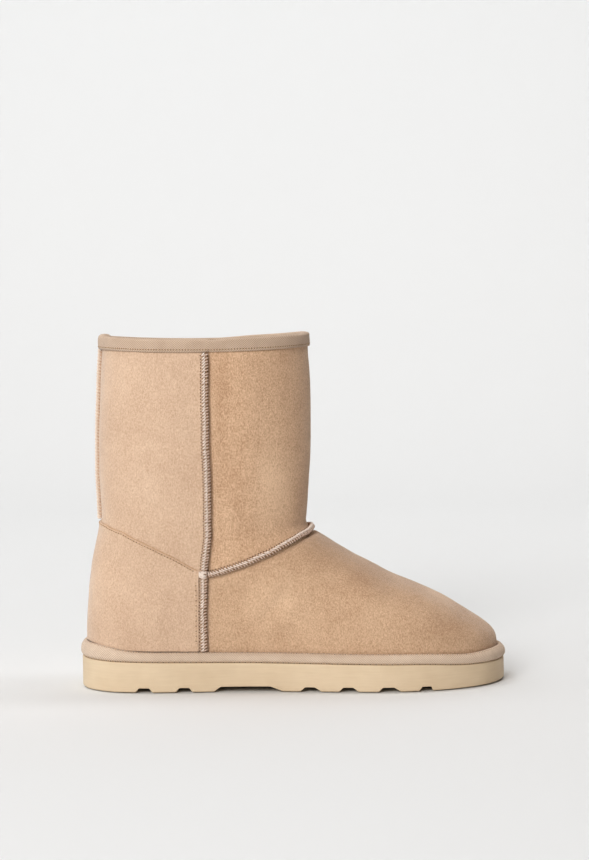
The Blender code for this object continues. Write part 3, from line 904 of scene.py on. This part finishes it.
SUEDE = napped_suede()
FOAM = moulded_foam()
COLLAR_TWILL = twill_tape("woven twill collar tape", "#AF937C", "#E0CBB6")
BASE_TWILL = twill_tape("woven twill base tape", "#C2A890", "#EEDBC7")
LOOPER_THREAD = spun_thread("cream overlock thread", "#F6ECE3", "#D0BAA9")
# Painted shade: the threads over the seam's crest and shaded flank are a darker copy of the cream thread
OVER_THREAD = spun_thread("shaded overlock thread", "#E2CEBF", "#B89A87")
WHIP_THREAD = spun_thread("rosy cream thread", "#EADBCC", "#CDB4A0")
TAN_THREAD = spun_thread("tan sewing thread", "#D2B391", "#A98663")
# Cut edges of suede and backing inside a raised seam: fibrous, their brown partly their own and partly
# painted shade between the stitches
CUT_EDGES_AND_SHADE = grained(
    "cut suede edges and painted shade",
    {"Scale": 1 / 0.0009, "Detail": 3, "Roughness": 0.7},
    ((0.3, "#7A5C42"), (0.7, "#B3967A")),
    (0.8, 0.0003),
    Roughness=1.0,
    Specular_IOR_Level=0.05,
)
# Curled acrylic pile: cream, dense and matt, with painted shade darkening it between its curls
FLEECE = grained(
    "curled fleece pile",
    {"Scale": 1 / 0.0022, "Detail": 3, "Roughness": 0.6, "Distortion": 1.6},
    ((0.32, "#D6C0A0"), (0.6, "#F4EADB")),
    (0.9, 0.0012),
    Roughness=1.0,
    Specular_IOR_Level=0.1,
    Sheen_Weight=0.5,
    Sheen_Roughness=0.6,
)
# Holes that a needle left: too small for light to reach into, so their dark brown is painted shade
PRICKS = grained(
    "needle prick shade",
    {"Scale": 1 / 0.0015, "Detail": 1},
    ((0, "#3E2A1C"), (1, "#7A5A42")),
    Roughness=1.0,
    Specular_IOR_Level=0.0,
)
# Matt uncoated paper: no gloss, and a tone that changes only over most of a metre
PAPER = grained(
    "pale paper sweep",
    {"Scale": 1 / 0.83, "Detail": 2},
    ((0, "#E0E2E3"), (1, "#E2E4E5")),
    Roughness=1.0,
    Specular_IOR_Level=0.0,
)


# Pieces


def cloth_uv(rows):
    """Lengths in metres along and across a ring of cloth, with the join's far side counted on."""
    middle, section = rows[len(rows) // 2], rows[:, 0]
    along, across = (run_of(np.vstack([line, line[:1]])) for line in (middle, section))
    return np.stack(np.meshgrid(along, across), 2)


def make_suede():
    """The suede of the upper: its creased outer face, and the side that the fleece is bonded to."""
    inner = (SKIN - OUT * suede_thickness)[BACKING_ROWS]
    inner[:, :, 2] = np.maximum(inner[:, :, 2], SKIN[0, :, 2])
    loft("upper_suede", np.concatenate([SKIN, inner]), SUEDE, "suede", "upper")


def make_fleece():
    """The fleece lining, its pile standing in soft curls."""
    curl_height = 0.0008
    rows = np.linspace(0, len(ROW_UPS) - 1, 150).astype(int)
    pile = SKIN[rows] - OUT[rows] * wall
    curls = noise_at(pile, 260) + 0.6 * noise_at(pile, 520)
    held = smooth((len(ROW_UPS) - 1 - rows) / 10)[:, None]
    pile -= OUT[rows] * (curl_height * np.clip(curls + 0.4, 0, 2) * held)[:, :, None]
    backing = SKIN[BACKING_ROWS] - OUT[BACKING_ROWS] * (suede_thickness + gap / 3)
    lining = np.concatenate([pile, backing])
    lining[:, :, 2] = np.maximum(lining[:, :, 2], SKIN[0, :, 2])
    loft("fleece_lining", lining, FLEECE, "fleece", "upper")


def binding_lift(x):
    """Height of the base binding above the outsole."""
    at_toe = np.asarray(x) > 0
    lift_start = np.where(at_toe, 0.80, 0.70)
    end_share = np.clip((np.abs(x) / (outsole_length / 2) - lift_start) / (1 - lift_start), 0, 1) ** 2
    end_lift = np.where(at_toe, binding_toe_lift, binding_heel_lift)
    return binding_height + end_lift * end_share * (3 - 2 * end_share)


def across_panel(shares, ups):
    """Shares around the boot of points at shares across the heel panel, and at heights."""
    first, last = np.array([panel_edges(up) for up in np.broadcast_to(ups, np.shape(shares))]).T
    return first + shares * (last - first)


def make_heel_panel():
    """Heel panel lapped over the leg, its edge turned under along the slanting heel seams."""
    line_across, line_up = panel_top()
    edge_round = 0.0009
    side_round, panel_girth = 0.0012, 0.28
    sunk = 0.0002  # its hidden side lies in the suede
    edge_up, foot_up = 0.3, 0.1  # heights that tell the panel's sides, and where it meets the rand
    columns, stitched = [], []
    for share in np.linspace(0, 1, 171):
        top = float(np.interp(share, line_across, line_up))
        foot, _ = on_skin(across_panel(np.array([share]), edge_up)[0], foot_up)
        low = (binding_lift(foot[0]) + gap) / (instep_height - sole_top(foot[0]) - gap)
        ups = low + (top - low) * np.linspace(0, 1, 90)
        arounds = across_panel(np.full(len(ups), share), ups)
        from_edge = np.clip((top - ups) / (edge_round / foot_climb), 0, 1)
        rounding = np.sqrt(np.clip(1 - (1 - from_edge) ** 2, 0, 1))
        from_side = min(min(share, 1 - share) * panel_girth / side_round, 1)
        swell = math.sqrt(max(0, 1 - (1 - from_side) ** 2))
        height = sunk + (panel_proud - sunk) * rounding * (0.35 + 0.65 * swell)
        outside, _ = on_skin(arounds, ups, height)
        inside, _ = on_skin(arounds[::-15], ups[::-15], -sunk)
        columns.append(np.concatenate([outside, inside]))
        stitched.append((share, top))
    loft("heel_panel", np.swapaxes(columns, 0, 1), SUEDE, "suede", "heel_counter", around=False)
    return np.array(stitched)


def seam_frame(path, pitch, clear, fine):
    """Points, ways out and ways across, evenly spaced along a seam's path on the skin, with fine steps
    to each stitch, and the number of stitches."""
    points, out = on_skin(*path, clear)
    run = run_of(points)
    stitches = int(round(run[-1] / pitch))
    stops = np.linspace(0, run[-1], stitches * fine + 1)
    points = along_line(points, run, stops)
    out = unit(along_line(out, run, stops))
    across = unit(np.cross(np.gradient(points, axis=0), out))
    return points, out, across, stitches


def over_ridge(points, out, across, spots, side, high):
    """Threads over a ridge, from their places along it and each step's way across and out."""
    return points[spots] + across[spots] * side[None, :, None] + out[spots] * high[None, :, None]


def ridge_section(angle, half_width, proud, fold, fullness):
    """Across and out of points on a ridge's section, from its lit foot over its top. fold: how far it
    leans to the shaded side."""
    round_out = np.abs(np.sin(angle)) ** fullness
    return -np.cos(angle) * half_width + fold * round_out, round_out * proud


def make_overlocked_seam(name, path, width, proud, clear, lean=1.0):
    """Raised seam: cut edges that stand up, a braid of looper threads on one flank and threads over the
    top."""
    fine = 8
    points, out, across, stitches = seam_frame(path, overlock_pitch, clear, fine)
    across = across * lean
    steps = np.arange(len(points)) / fine
    rng = np.random.default_rng(len(name) + stitches)
    sway = np.interp(steps, np.linspace(0, stitches, 24), rng.normal(0, 0.00013, 24))
    swell = 1 + np.interp(steps, np.linspace(0, stitches, 40), rng.normal(0, 0.05, 40))
    points = points + across * sway[:, None]
    core_share = 0.72  # the rest of the seam's width and height is thread
    core_width, core_proud = width * core_share, proud * core_share
    fold = 0.20 * width  # the seam is folded over to one side, and overhangs there

    def flank(angle, more=0.0):
        return ridge_section(angle, core_width / 2 + more, core_proud + more, fold, 0.7)

    core = []
    for angle in np.linspace(0, math.pi, 13):
        side, high = flank(angle)
        core.append(points + across * (side * swell)[:, None] + out * (high * swell)[:, None])
    # Painted shadow: the brown cut edges run on past the threads at the shaded foot, a dark strip in the
    # valley beside the seam
    painted_shadow_foot = points + across * (width / 2 + 0.0004) - out * (clear - 0.0003)
    hidden = [points + across * (core_width * share) - out * clear for share in (0.42, -0.42)]
    core = [hidden[1], *core, painted_shadow_foot, hidden[0]]
    loft(f"{name}_edges", np.array(core)[:, :: fine // 2], CUT_EDGES_AND_SHADE, "suede", name, around=False)

    t = np.linspace(0, 1, 13)
    starts = np.arange(stitches) * fine + rng.integers(0, 2, stitches)
    spots = np.minimum(starts[:, None] + t[None] * fine * 0.55, len(points) - 1.01)
    low = spots.astype(int)
    u = (spots - low)[..., None]
    base = points[low] * (1 - u) + points[low + 1] * u
    side, high = flank(math.pi * (0.02 + 0.96 * t), overlock_thread * 0.42)
    over = base + across[low] * side[None, :, None] + out[low] * high[None, :, None]
    strands(f"{name}_over_threads", over, out[low], overlock_thread * 0.75, OVER_THREAD)

    # The looper threads lie over them on the lit flank as one slanting link for each stitch
    spots = starts[:, None] + (t[None] + 0.1) * fine * 0.95
    low = np.clip(spots.astype(int), 0, len(points) - 1)
    links = over_ridge(points, out, across, low, *flank(math.pi * (0.12 + 0.30 * t), overlock_thread * 1.05))
    links += rng.normal(0, 0.00005, (len(links), 1, 3))
    strands(f"{name}_links", links, out[low], overlock_thread * 0.66, LOOPER_THREAD, 0.5)

    foot = points[starts] - across[starts] * (width * 0.5 + 0.0002) - out[starts] * (clear - 0.00022)
    pricks(f"{name}_pricks", foot, out[starts], 0.00038)
    return points, out, across


def make_knot(points, out, across):
    """Where the instep seam starts, its threads are tied off over the side seam in a small knot."""
    up, along = INSTEP_SEAM[0]
    knot_height = on_skin(around_at(along, up, "outer"), up)[0][2]
    spot = int(np.argmin(np.abs(points[:, 2] - knot_height)))
    centre, way, side = points[spot], out[spot], across[spot]
    rise = np.cross(way, side)
    rng = np.random.default_rng(11)
    turn = np.linspace(0, 2 * math.pi, 19)
    loops = []
    for i in range(7):
        tilt = rng.uniform(-0.5, 0.5)
        long_way = side * math.cos(tilt) + rise * math.sin(tilt)
        short_way = -side * math.sin(tilt) + rise * math.cos(tilt)
        middle = centre + rise * (i - 3) * 0.00050 - side * 0.0006
        reach, deep = 0.0023 + rng.uniform(-0.0003, 0.0002), 0.0011
        loop = middle + np.outer(np.cos(turn), long_way) * reach
        loop += np.outer(np.sin(turn), way) * deep + way * 0.0014
        loops.append(loop + np.outer(np.sin(2 * turn), short_way) * 0.0003)
    ways = np.broadcast_to(way, (len(loops), len(turn), 3)) + 1e-3
    strands("seam_knot", loops, ways, overlock_thread * 0.62, LOOPER_THREAD)


def make_back_seam():
    """Raised seam down the back of the leg, whipped over with slanting thread."""
    fine = 8
    points, out, across, stitches = seam_frame(back_seam_path(), whip_pitch, gap, fine)
    core_share = 0.8
    half = back_seam_width / 2

    def flank(angle, more=0.0):
        return ridge_section(angle, half * core_share + more, back_seam_proud * core_share + more, 0, 0.6)

    core = []
    for angle in np.linspace(0, math.pi, 11):
        side, high = flank(angle)
        core.append(points + across * side + out * high)
    hidden = [points + across * (half * share) - out * gap for share in (-0.7, 0.7)]
    core = np.array([hidden[0], *core, hidden[1]])[:, :: fine // 2]
    loft("back_seam_edges", core, SUEDE, "suede", "back_seam", around=False)
    t = np.linspace(0, 1, 15)
    starts = np.arange(stitches + 1) * fine
    spots = starts[:, None] + (0.5 - np.abs(2 * t[None] - 1)) * fine * 0.9
    low = np.clip(np.round(spots).astype(int), 0, len(points) - 1)
    over = over_ridge(points, out, across, low, *flank(math.pi * t, 0.0003))
    strands("back_seam_whip", over, out[low], whip_thread / 2, WHIP_THREAD)


def sewn_line(name, points, out, pitch, thread, fill=0.72, closed=False, hole=0.00034):
    """Row of lockstitches along a line: short threads that dive into a prick at each end."""
    if closed:
        points, out = np.vstack([points, points[:1]]), np.vstack([out, out[:1]])
    run = run_of(points)
    count = int(round(run[-1] / pitch))
    real = run[-1] / count
    t = np.linspace(-0.5, 0.5, 7)
    spots = (np.arange(count) + 0.5)[:, None] * real + t[None] * real * fill
    path, way = along_line(points, run, spots), unit(along_line(out, run, spots))
    dive = thread * (0.30 - 1.1 * np.abs(2 * t) ** 4)
    strands(name, path + way * dive[None, :, None], way, thread / 2, TAN_THREAD)
    at = np.arange(count) * real
    centres, ways = along_line(points, run, at), unit(along_line(out, run, at))
    pricks(f"{name}_pricks", centres + ways * 0.00006, ways, hole)


def make_heel_stitches(stitched):
    """Fine stitches just inside the heel panel's slanting edges, a thin tan cord along the edge that is
    turned under, partly its cut edge and partly painted shadow, and a row of pricks down beside the outer
    side seam."""
    shares, tops = stitched[3:-3].T
    ups = tops - heel_stitch_inset / np.where(tops < 1, foot_climb, leg_climb)
    points, out = on_skin(across_panel(shares, ups), ups, panel_proud)
    sewn_line("heel_panel_stitches", points, out, panel_stitch, 0.00052, hole=0.00032)
    shares, tops = stitched[1:-1].T
    points, out = on_skin(across_panel(shares, tops), tops, 0.0003)
    # A tan cord along the turned-under edge: its line is partly the cut edge, partly painted shadow
    strands("heel_panel_fold_shade_line", [points], [out], 0.00024, TAN_THREAD, slot="suede")
    ups = np.linspace(0.16, 0.62, 80)
    points, out = on_skin(across_panel(np.full(len(ups), 0.0085), ups), ups, panel_proud)
    sewn_line("heel_side_stitches", points, out, puckers_pitch, 0.00040, 0.45, hole=0.00036)


def make_base_binding():
    """Folded twill tape round the foot, bulging past the outsole, sewn along its top and its foot."""
    count = 720
    edge = plan(0, count)
    out = np.column_stack([outward(edge), np.zeros(count)])
    height = binding_lift(edge[:, 0])
    seat = sole_top(edge[:, 0]) + gap
    around = np.arange(count) / count
    ring_ups = height / (instep_height - seat)
    skin_top, skin_mid, skin_foot = (
        on_skin(around, ups)[0] + out * curved_gap for ups in (ring_ups, ring_ups / 2, 0.0)
    )
    rise = np.column_stack([np.zeros((count, 2)), height])
    outer_foot = np.column_stack([edge, seat])
    puff = noise_at(np.column_stack([edge * 45, np.full(count, 0.3)])) * 0.00025
    highs = np.linspace(0, 0.96, 15)
    tucks = np.maximum(curve_through(*np.array(RAND).T, highs), 0)
    rows = [skin_foot]
    for high, tuck in zip(highs, tucks):
        bulge = binding_overhang - tuck + puff * math.sin(math.pi * high)
        rows.append(outer_foot + out * bulge[:, None] + rise * high)
    lip = rows[-1] * 0.45 + skin_top * 0.55
    lip[:, 2] = np.maximum(rows[-1][:, 2], skin_top[:, 2]) + 0.0001
    rows = np.array([*rows, lip, skin_top, skin_mid])
    loft("base_binding_tape", rows, BASE_TWILL, "twill_tape", "base_binding", uv=cloth_uv(rows))
    top_line = rows[14] * 0.55 + lip * 0.45
    top_way = unit(out + [0, 0, 0.9])
    sewn_line("base_top_stitches", top_line, top_way, base_stitch, 0.00046, 0.62, True, 0.00042)
    foot_line = rows[1] + (rows[2] - rows[1]) * 0.35
    sewn_line("base_foot_stitches", foot_line, out, base_stitch, 0.00040, 0.55, True, 0.00030)


def make_collar_binding():
    """Twill tape folded over the rim, one end lapped over the other at the back."""
    rim = SKIN[-1].copy()
    around = np.arange(around_count) / around_count
    rim_girth = 0.37
    beside = (around - side_seam_path("outer")[0][-1]) * rim_girth
    # A dip and a small bump where the side seam runs under the tape, and a raised front
    rim[:, 2] -= 0.0009 * np.exp(-(((beside + 0.004) / 0.005) ** 2))
    rim[:, 2] += 0.0008 * np.exp(-(((beside + 0.001) / 0.0012) ** 2))
    rim[:, 2] += 0.0012 * smooth((rim[:, 1] + 0.02) / 0.04) * smooth((rim[:, 0] + 0.05) / 0.03)
    low, _ = on_skin(around, tape_foot_up)
    out = np.column_stack([outward(rim[:, :2]), np.zeros(around_count)])
    up = np.array([0, 0, 1.0])
    lap_start, lap_end, lap_slope = 0.437, 0.535, 0.010  # shares around the boot
    lapped = smooth((around - lap_start) / lap_slope) * smooth((lap_end - around) / lap_slope)
    extra = (tape_overlap * lapped)[:, None]
    wave = noise_at(np.column_stack([rim[:, :2] * 38, np.full(around_count, 7.0)]))[:, None] * 0.0004
    proud = gap + tape_thickness

    def outside(share):
        """The tape's outer face, at a share of its drop above its lower edge."""
        belly = 0.0002 * math.sin(math.pi * share)
        return low + (rim - low) * share + out * (proud + belly + wave) + out * extra * 0.6

    rows = [low + out * (gap * 0.4), low + out * (proud * 0.75)]
    rows += [outside(share) for share in np.linspace(0.06, 0.92, 9)]
    half = (wall + 2 * proud) / 2
    centre = rim - out * (wall / 2)
    for angle in np.linspace(0, math.pi, 11):
        side = out * (math.cos(angle) * half)
        lift = up * (math.sin(angle) ** 0.8 * proud)
        rows.append(centre + side + lift + (up * math.sin(angle) + out * math.cos(angle) * 0.5) * extra)
    rows += [low + (rim - low) * share - out * (wall + proud) for share in (0.75, 0.5, 0.25, 0.05)]
    middle = (low + rim) / 2
    rows += [
        low - out * (wall + gap * 1.2),
        middle - out * (wall + gap * 0.8),
        rim - out * (wall + gap * 0.8) + up * gap * 0.6,
        rim + out * gap * 0.6 + up * gap * 0.6,
        middle + out * gap * 0.6,
    ]
    rows = np.array(rows)
    loft("collar_binding_tape", rows, COLLAR_TWILL, "twill_tape", "collar_binding", uv=cloth_uv(rows))
    line = outside(tape_stitch_height / tape_drop)
    sewn_line("collar_stitches", line, out, tape_stitch, 0.00040, 0.62, True, 0.00032)


def groove_corners():
    """Each groove's depth, and the places of its four corners along X."""
    for start, end, slope_back, slope_front, deep in NOTCHES:
        depth = arch_depth if deep else notch_depth
        first, last = start * outsole_length, end * outsole_length
        yield depth, [first, first + slope_back * depth, last - slope_front * depth, last]


def groove_profile():
    """Height of the tread above the ground along X, with softened corners."""
    x = np.linspace(-0.5, 0.5, 5401) * outsole_length
    z = np.zeros_like(x)
    for depth, corners in groove_corners():
        z = np.maximum(z, np.interp(x, corners, [0, depth, depth, 0]))
    soft = np.ones(15) / 15
    for _ in range(2):
        z = np.convolve(z, soft, mode="same")
    return x, z


def sole_stations():
    """Places along the outsole, closer together at both ends and at each groove's corners."""
    marks = [-np.cos(np.linspace(0, math.pi, 150)) * outsole_length / 2]
    for _, corners in groove_corners():
        marks += [corner + np.linspace(-0.0011, 0.0011, 8) for corner in corners]
    marks = np.sort(np.concatenate(marks))
    kept = [marks[0]]
    for mark in marks[1:-1]:
        if mark - kept[-1] > 0.00024:
            kept.append(mark)
    return np.array([*kept, marks[-1]])[::-1]


def sole_ring(stations, inset):
    """Outline of the outsole moved in by inset, with a point at each station on both sides."""
    fine = FINE_SOLE - FINE_SOLE_OUT * inset
    heel = int(np.argmin(fine[:, 0]))
    share = np.clip((np.abs(stations) / (outsole_length / 2) - 0.85) / 0.15, 0, 1) ** 2
    x = stations - np.sign(stations) * inset * share
    outer, inner = fine[: heel + 1], np.vstack([fine[heel:], fine[:1]])
    y_outer = np.interp(x, outer[::-1, 0], outer[::-1, 1])
    y_inner = np.interp(x, inner[:, 0], inner[:, 1])
    return np.concatenate([x, x[-2:0:-1]]), np.concatenate([y_outer, y_inner[-2:0:-1]])


def make_outsole():
    """Moulded foam outsole, its tread grooves softened as by the mould."""
    groove_x, groove_z = groove_profile()
    stations = sole_stations()

    def above(inset, drop):
        x, y = sole_ring(stations, inset)
        return np.stack([x, y, sole_top(x) - drop], 1)

    def below(inset, lift):
        x, y = sole_ring(stations, inset)
        spring_from = toe_spring_start * outsole_length
        spring = toe_spring * np.clip((x - spring_from) / (outsole_length / 2 - spring_from), 0, 1) ** 2
        deep = np.interp(x, groove_x, groove_z)
        crisp = 1 - 0.72 * deep / arch_depth
        return np.stack([x, y, deep + spring * (1 - deep / arch_depth) + lift * crisp], 1)

    rows = [below(inset, lift) for inset, lift in FOAM_EDGE]
    foot, head = rows[-1], above(0, top_round)
    rows += [foot + (head - foot) * share for share in (0.15, 0.35, 0.6, 0.85)]
    for angle in np.linspace(0, math.pi / 2, 4):
        rows.append(above(top_round * (1 - math.cos(angle)), top_round * (1 - math.sin(angle))))
    loft("foam_outsole", rows, FOAM, "foam_sole", "outsole", section=False)


def make_insole():
    """Fleece sock on the insole board, its pile not yet trodden down."""
    ring = plan(rand_inset + wall + curved_gap, 240)
    rows = [
        np.column_stack([ring, sole_top(ring[:, 0]) + rise]) for rise in (gap, insole_thickness * 0.7)
    ]
    centre_y = np.interp(ring[:, 0], *middle_of(ring))
    for inward in np.linspace(0, 0.93, 26):
        y = ring[:, 1] + (centre_y - ring[:, 1]) * inward
        x = ring[:, 0] * (1 - 0.05 * inward)
        z = sole_top(x) + insole_thickness - 0.0010 * math.exp(-inward * 18)
        pile = noise_at(np.stack([x, y, np.zeros_like(x)], 1), 230)
        rows.append(np.stack([x, y, z + 0.0006 * pile], 1))
    loft("fleece_insole", rows, FLEECE, "fleece", "insole", section=False)


def middle_of(ring):
    """X and Y of the line half way between the two sides of a plan outline."""
    half = len(ring) // 2
    outer, inner = ring[: half + 1][::-1], np.vstack([ring[half:], ring[:1]])
    y = (outer[:, 1] + np.interp(outer[:, 0], inner[:, 0], inner[:, 1])) / 2
    return outer[:, 0], y


make_suede()
make_fleece()
make_heel_stitches(make_heel_panel())
side_size = (side_seam_width, side_seam_proud, gap)
outer_seam = make_overlocked_seam("side_seam_outer", side_seam_path("outer"), *side_size)
make_overlocked_seam("side_seam_inner", side_seam_path("inner"), *side_size, lean=-1.0)
make_overlocked_seam(
    "instep_seam", instep_seam_path(), instep_seam_width, instep_seam_proud, instep_seam_clear
)
make_knot(*outer_seam)
make_back_seam()
make_base_binding()
make_collar_binding()
make_outsole()
make_insole()


# Studio


def make_backdrop():
    """Pale paper sweep: a floor that turns up into a wall behind the boot."""
    half_width, front, back, top, bend = 4.0, -2.2, 2.2, 3.2, 0.9
    profile = [(front, 0.0), (back - bend, 0.0)]
    for angle in np.linspace(0, math.pi / 2, 13)[1:]:
        profile.append((back - bend + bend * math.sin(angle), bend - bend * math.cos(angle)))
    profile.append((back, top))
    count = len(profile)
    points = [(x, y, z) for x in (-half_width, half_width) for y, z in profile]
    faces = [(j, j + 1, count + j + 1, count + j) for j in range(count - 1)]
    sweep = as_piece("paper_sweep", points, faces, PAPER)


def soft_light(name, at, aim, size, watts):
    light = bpy.data.lights.new(name, "AREA")
    light.shape = "RECTANGLE"
    light.size, light.size_y = size
    light.energy = watts
    lamp = bpy.data.objects.new(name, light)
    lamp.location = at
    lamp.rotation_euler = (Vector(aim) - Vector(at)).to_track_quat("-Z", "Y").to_euler()
    bpy.context.scene.collection.objects.link(lamp)


def light_studio():
    """One softbox to the left of the lens, one over the backdrop, and a room that is white on the left
    and dim and warm to the right, which shades the boot's toe."""
    soft_light("key_softbox", at=(-0.85, -2.15, 1.15), aim=(0, 0, 0.11), size=(1.0, 1.0), watts=38)
    soft_light("backdrop_softbox", at=(0, 0.3, 2.7), aim=(0, 2.2, 0.5), size=(4.0, 0.7), watts=55)
    world = bpy.data.worlds.new("white studio")
    bpy.context.scene.world = world
    world.use_nodes = True
    tree = world.node_tree
    way = add(tree, "TexCoord").outputs["Generated"]
    tilted = add(tree, "Mapping", {"Vector": way, "Rotation": (0, math.radians(20), 0)})
    sides = add(tree, "SeparateXYZ", {"Vector": tilted})
    share = add(tree, "MapRange", {"Value": sides, "From Min": -1.0, "From Max": 1.0})
    room = ((0, "#F6F6F6"), (0.90, "#352312"), (0.5, "#E6E5E4"), (0.74, "#A88C72"))
    bright = add(tree, "ValToRGB", {"Fac": share}, room)
    air = tree.nodes["Background"]
    tree.links.new(bright.outputs["Color"], air.inputs["Color"])
    air.inputs["Strength"].default_value = 0.81


def set_camera():
    """A long lens level with the collar, turned down to the boot and rolled a little, as in the photo."""
    distance, eye_height = 1.35, 0.2283
    pitch, yaw, roll = math.radians(2.854), math.radians(-0.110), math.radians(-0.8)
    photo_height, focal_pixels = 860, 2116
    camera = bpy.data.cameras.new("studio camera")
    camera.sensor_width = 36
    camera.lens = focal_pixels * camera.sensor_width / photo_height
    eye = bpy.data.objects.new("studio_camera", camera)
    turned = Matrix.Rotation(yaw, 4, "Z") @ Matrix.Rotation(math.pi / 2 - pitch, 4, "X")
    eye.matrix_world = (
        Matrix.Translation((0, -distance, eye_height)) @ turned @ Matrix.Rotation(roll, 4, "Z")
    )
    bpy.context.scene.collection.objects.link(eye)
    bpy.context.scene.camera = eye


make_backdrop()
light_studio()
set_camera()
tone = bpy.context.scene.view_settings
tone.view_transform = "Standard"
tone.gamma = 0.90  # the photo is a little harder than the lens sees: its shadows are deeper and warmer
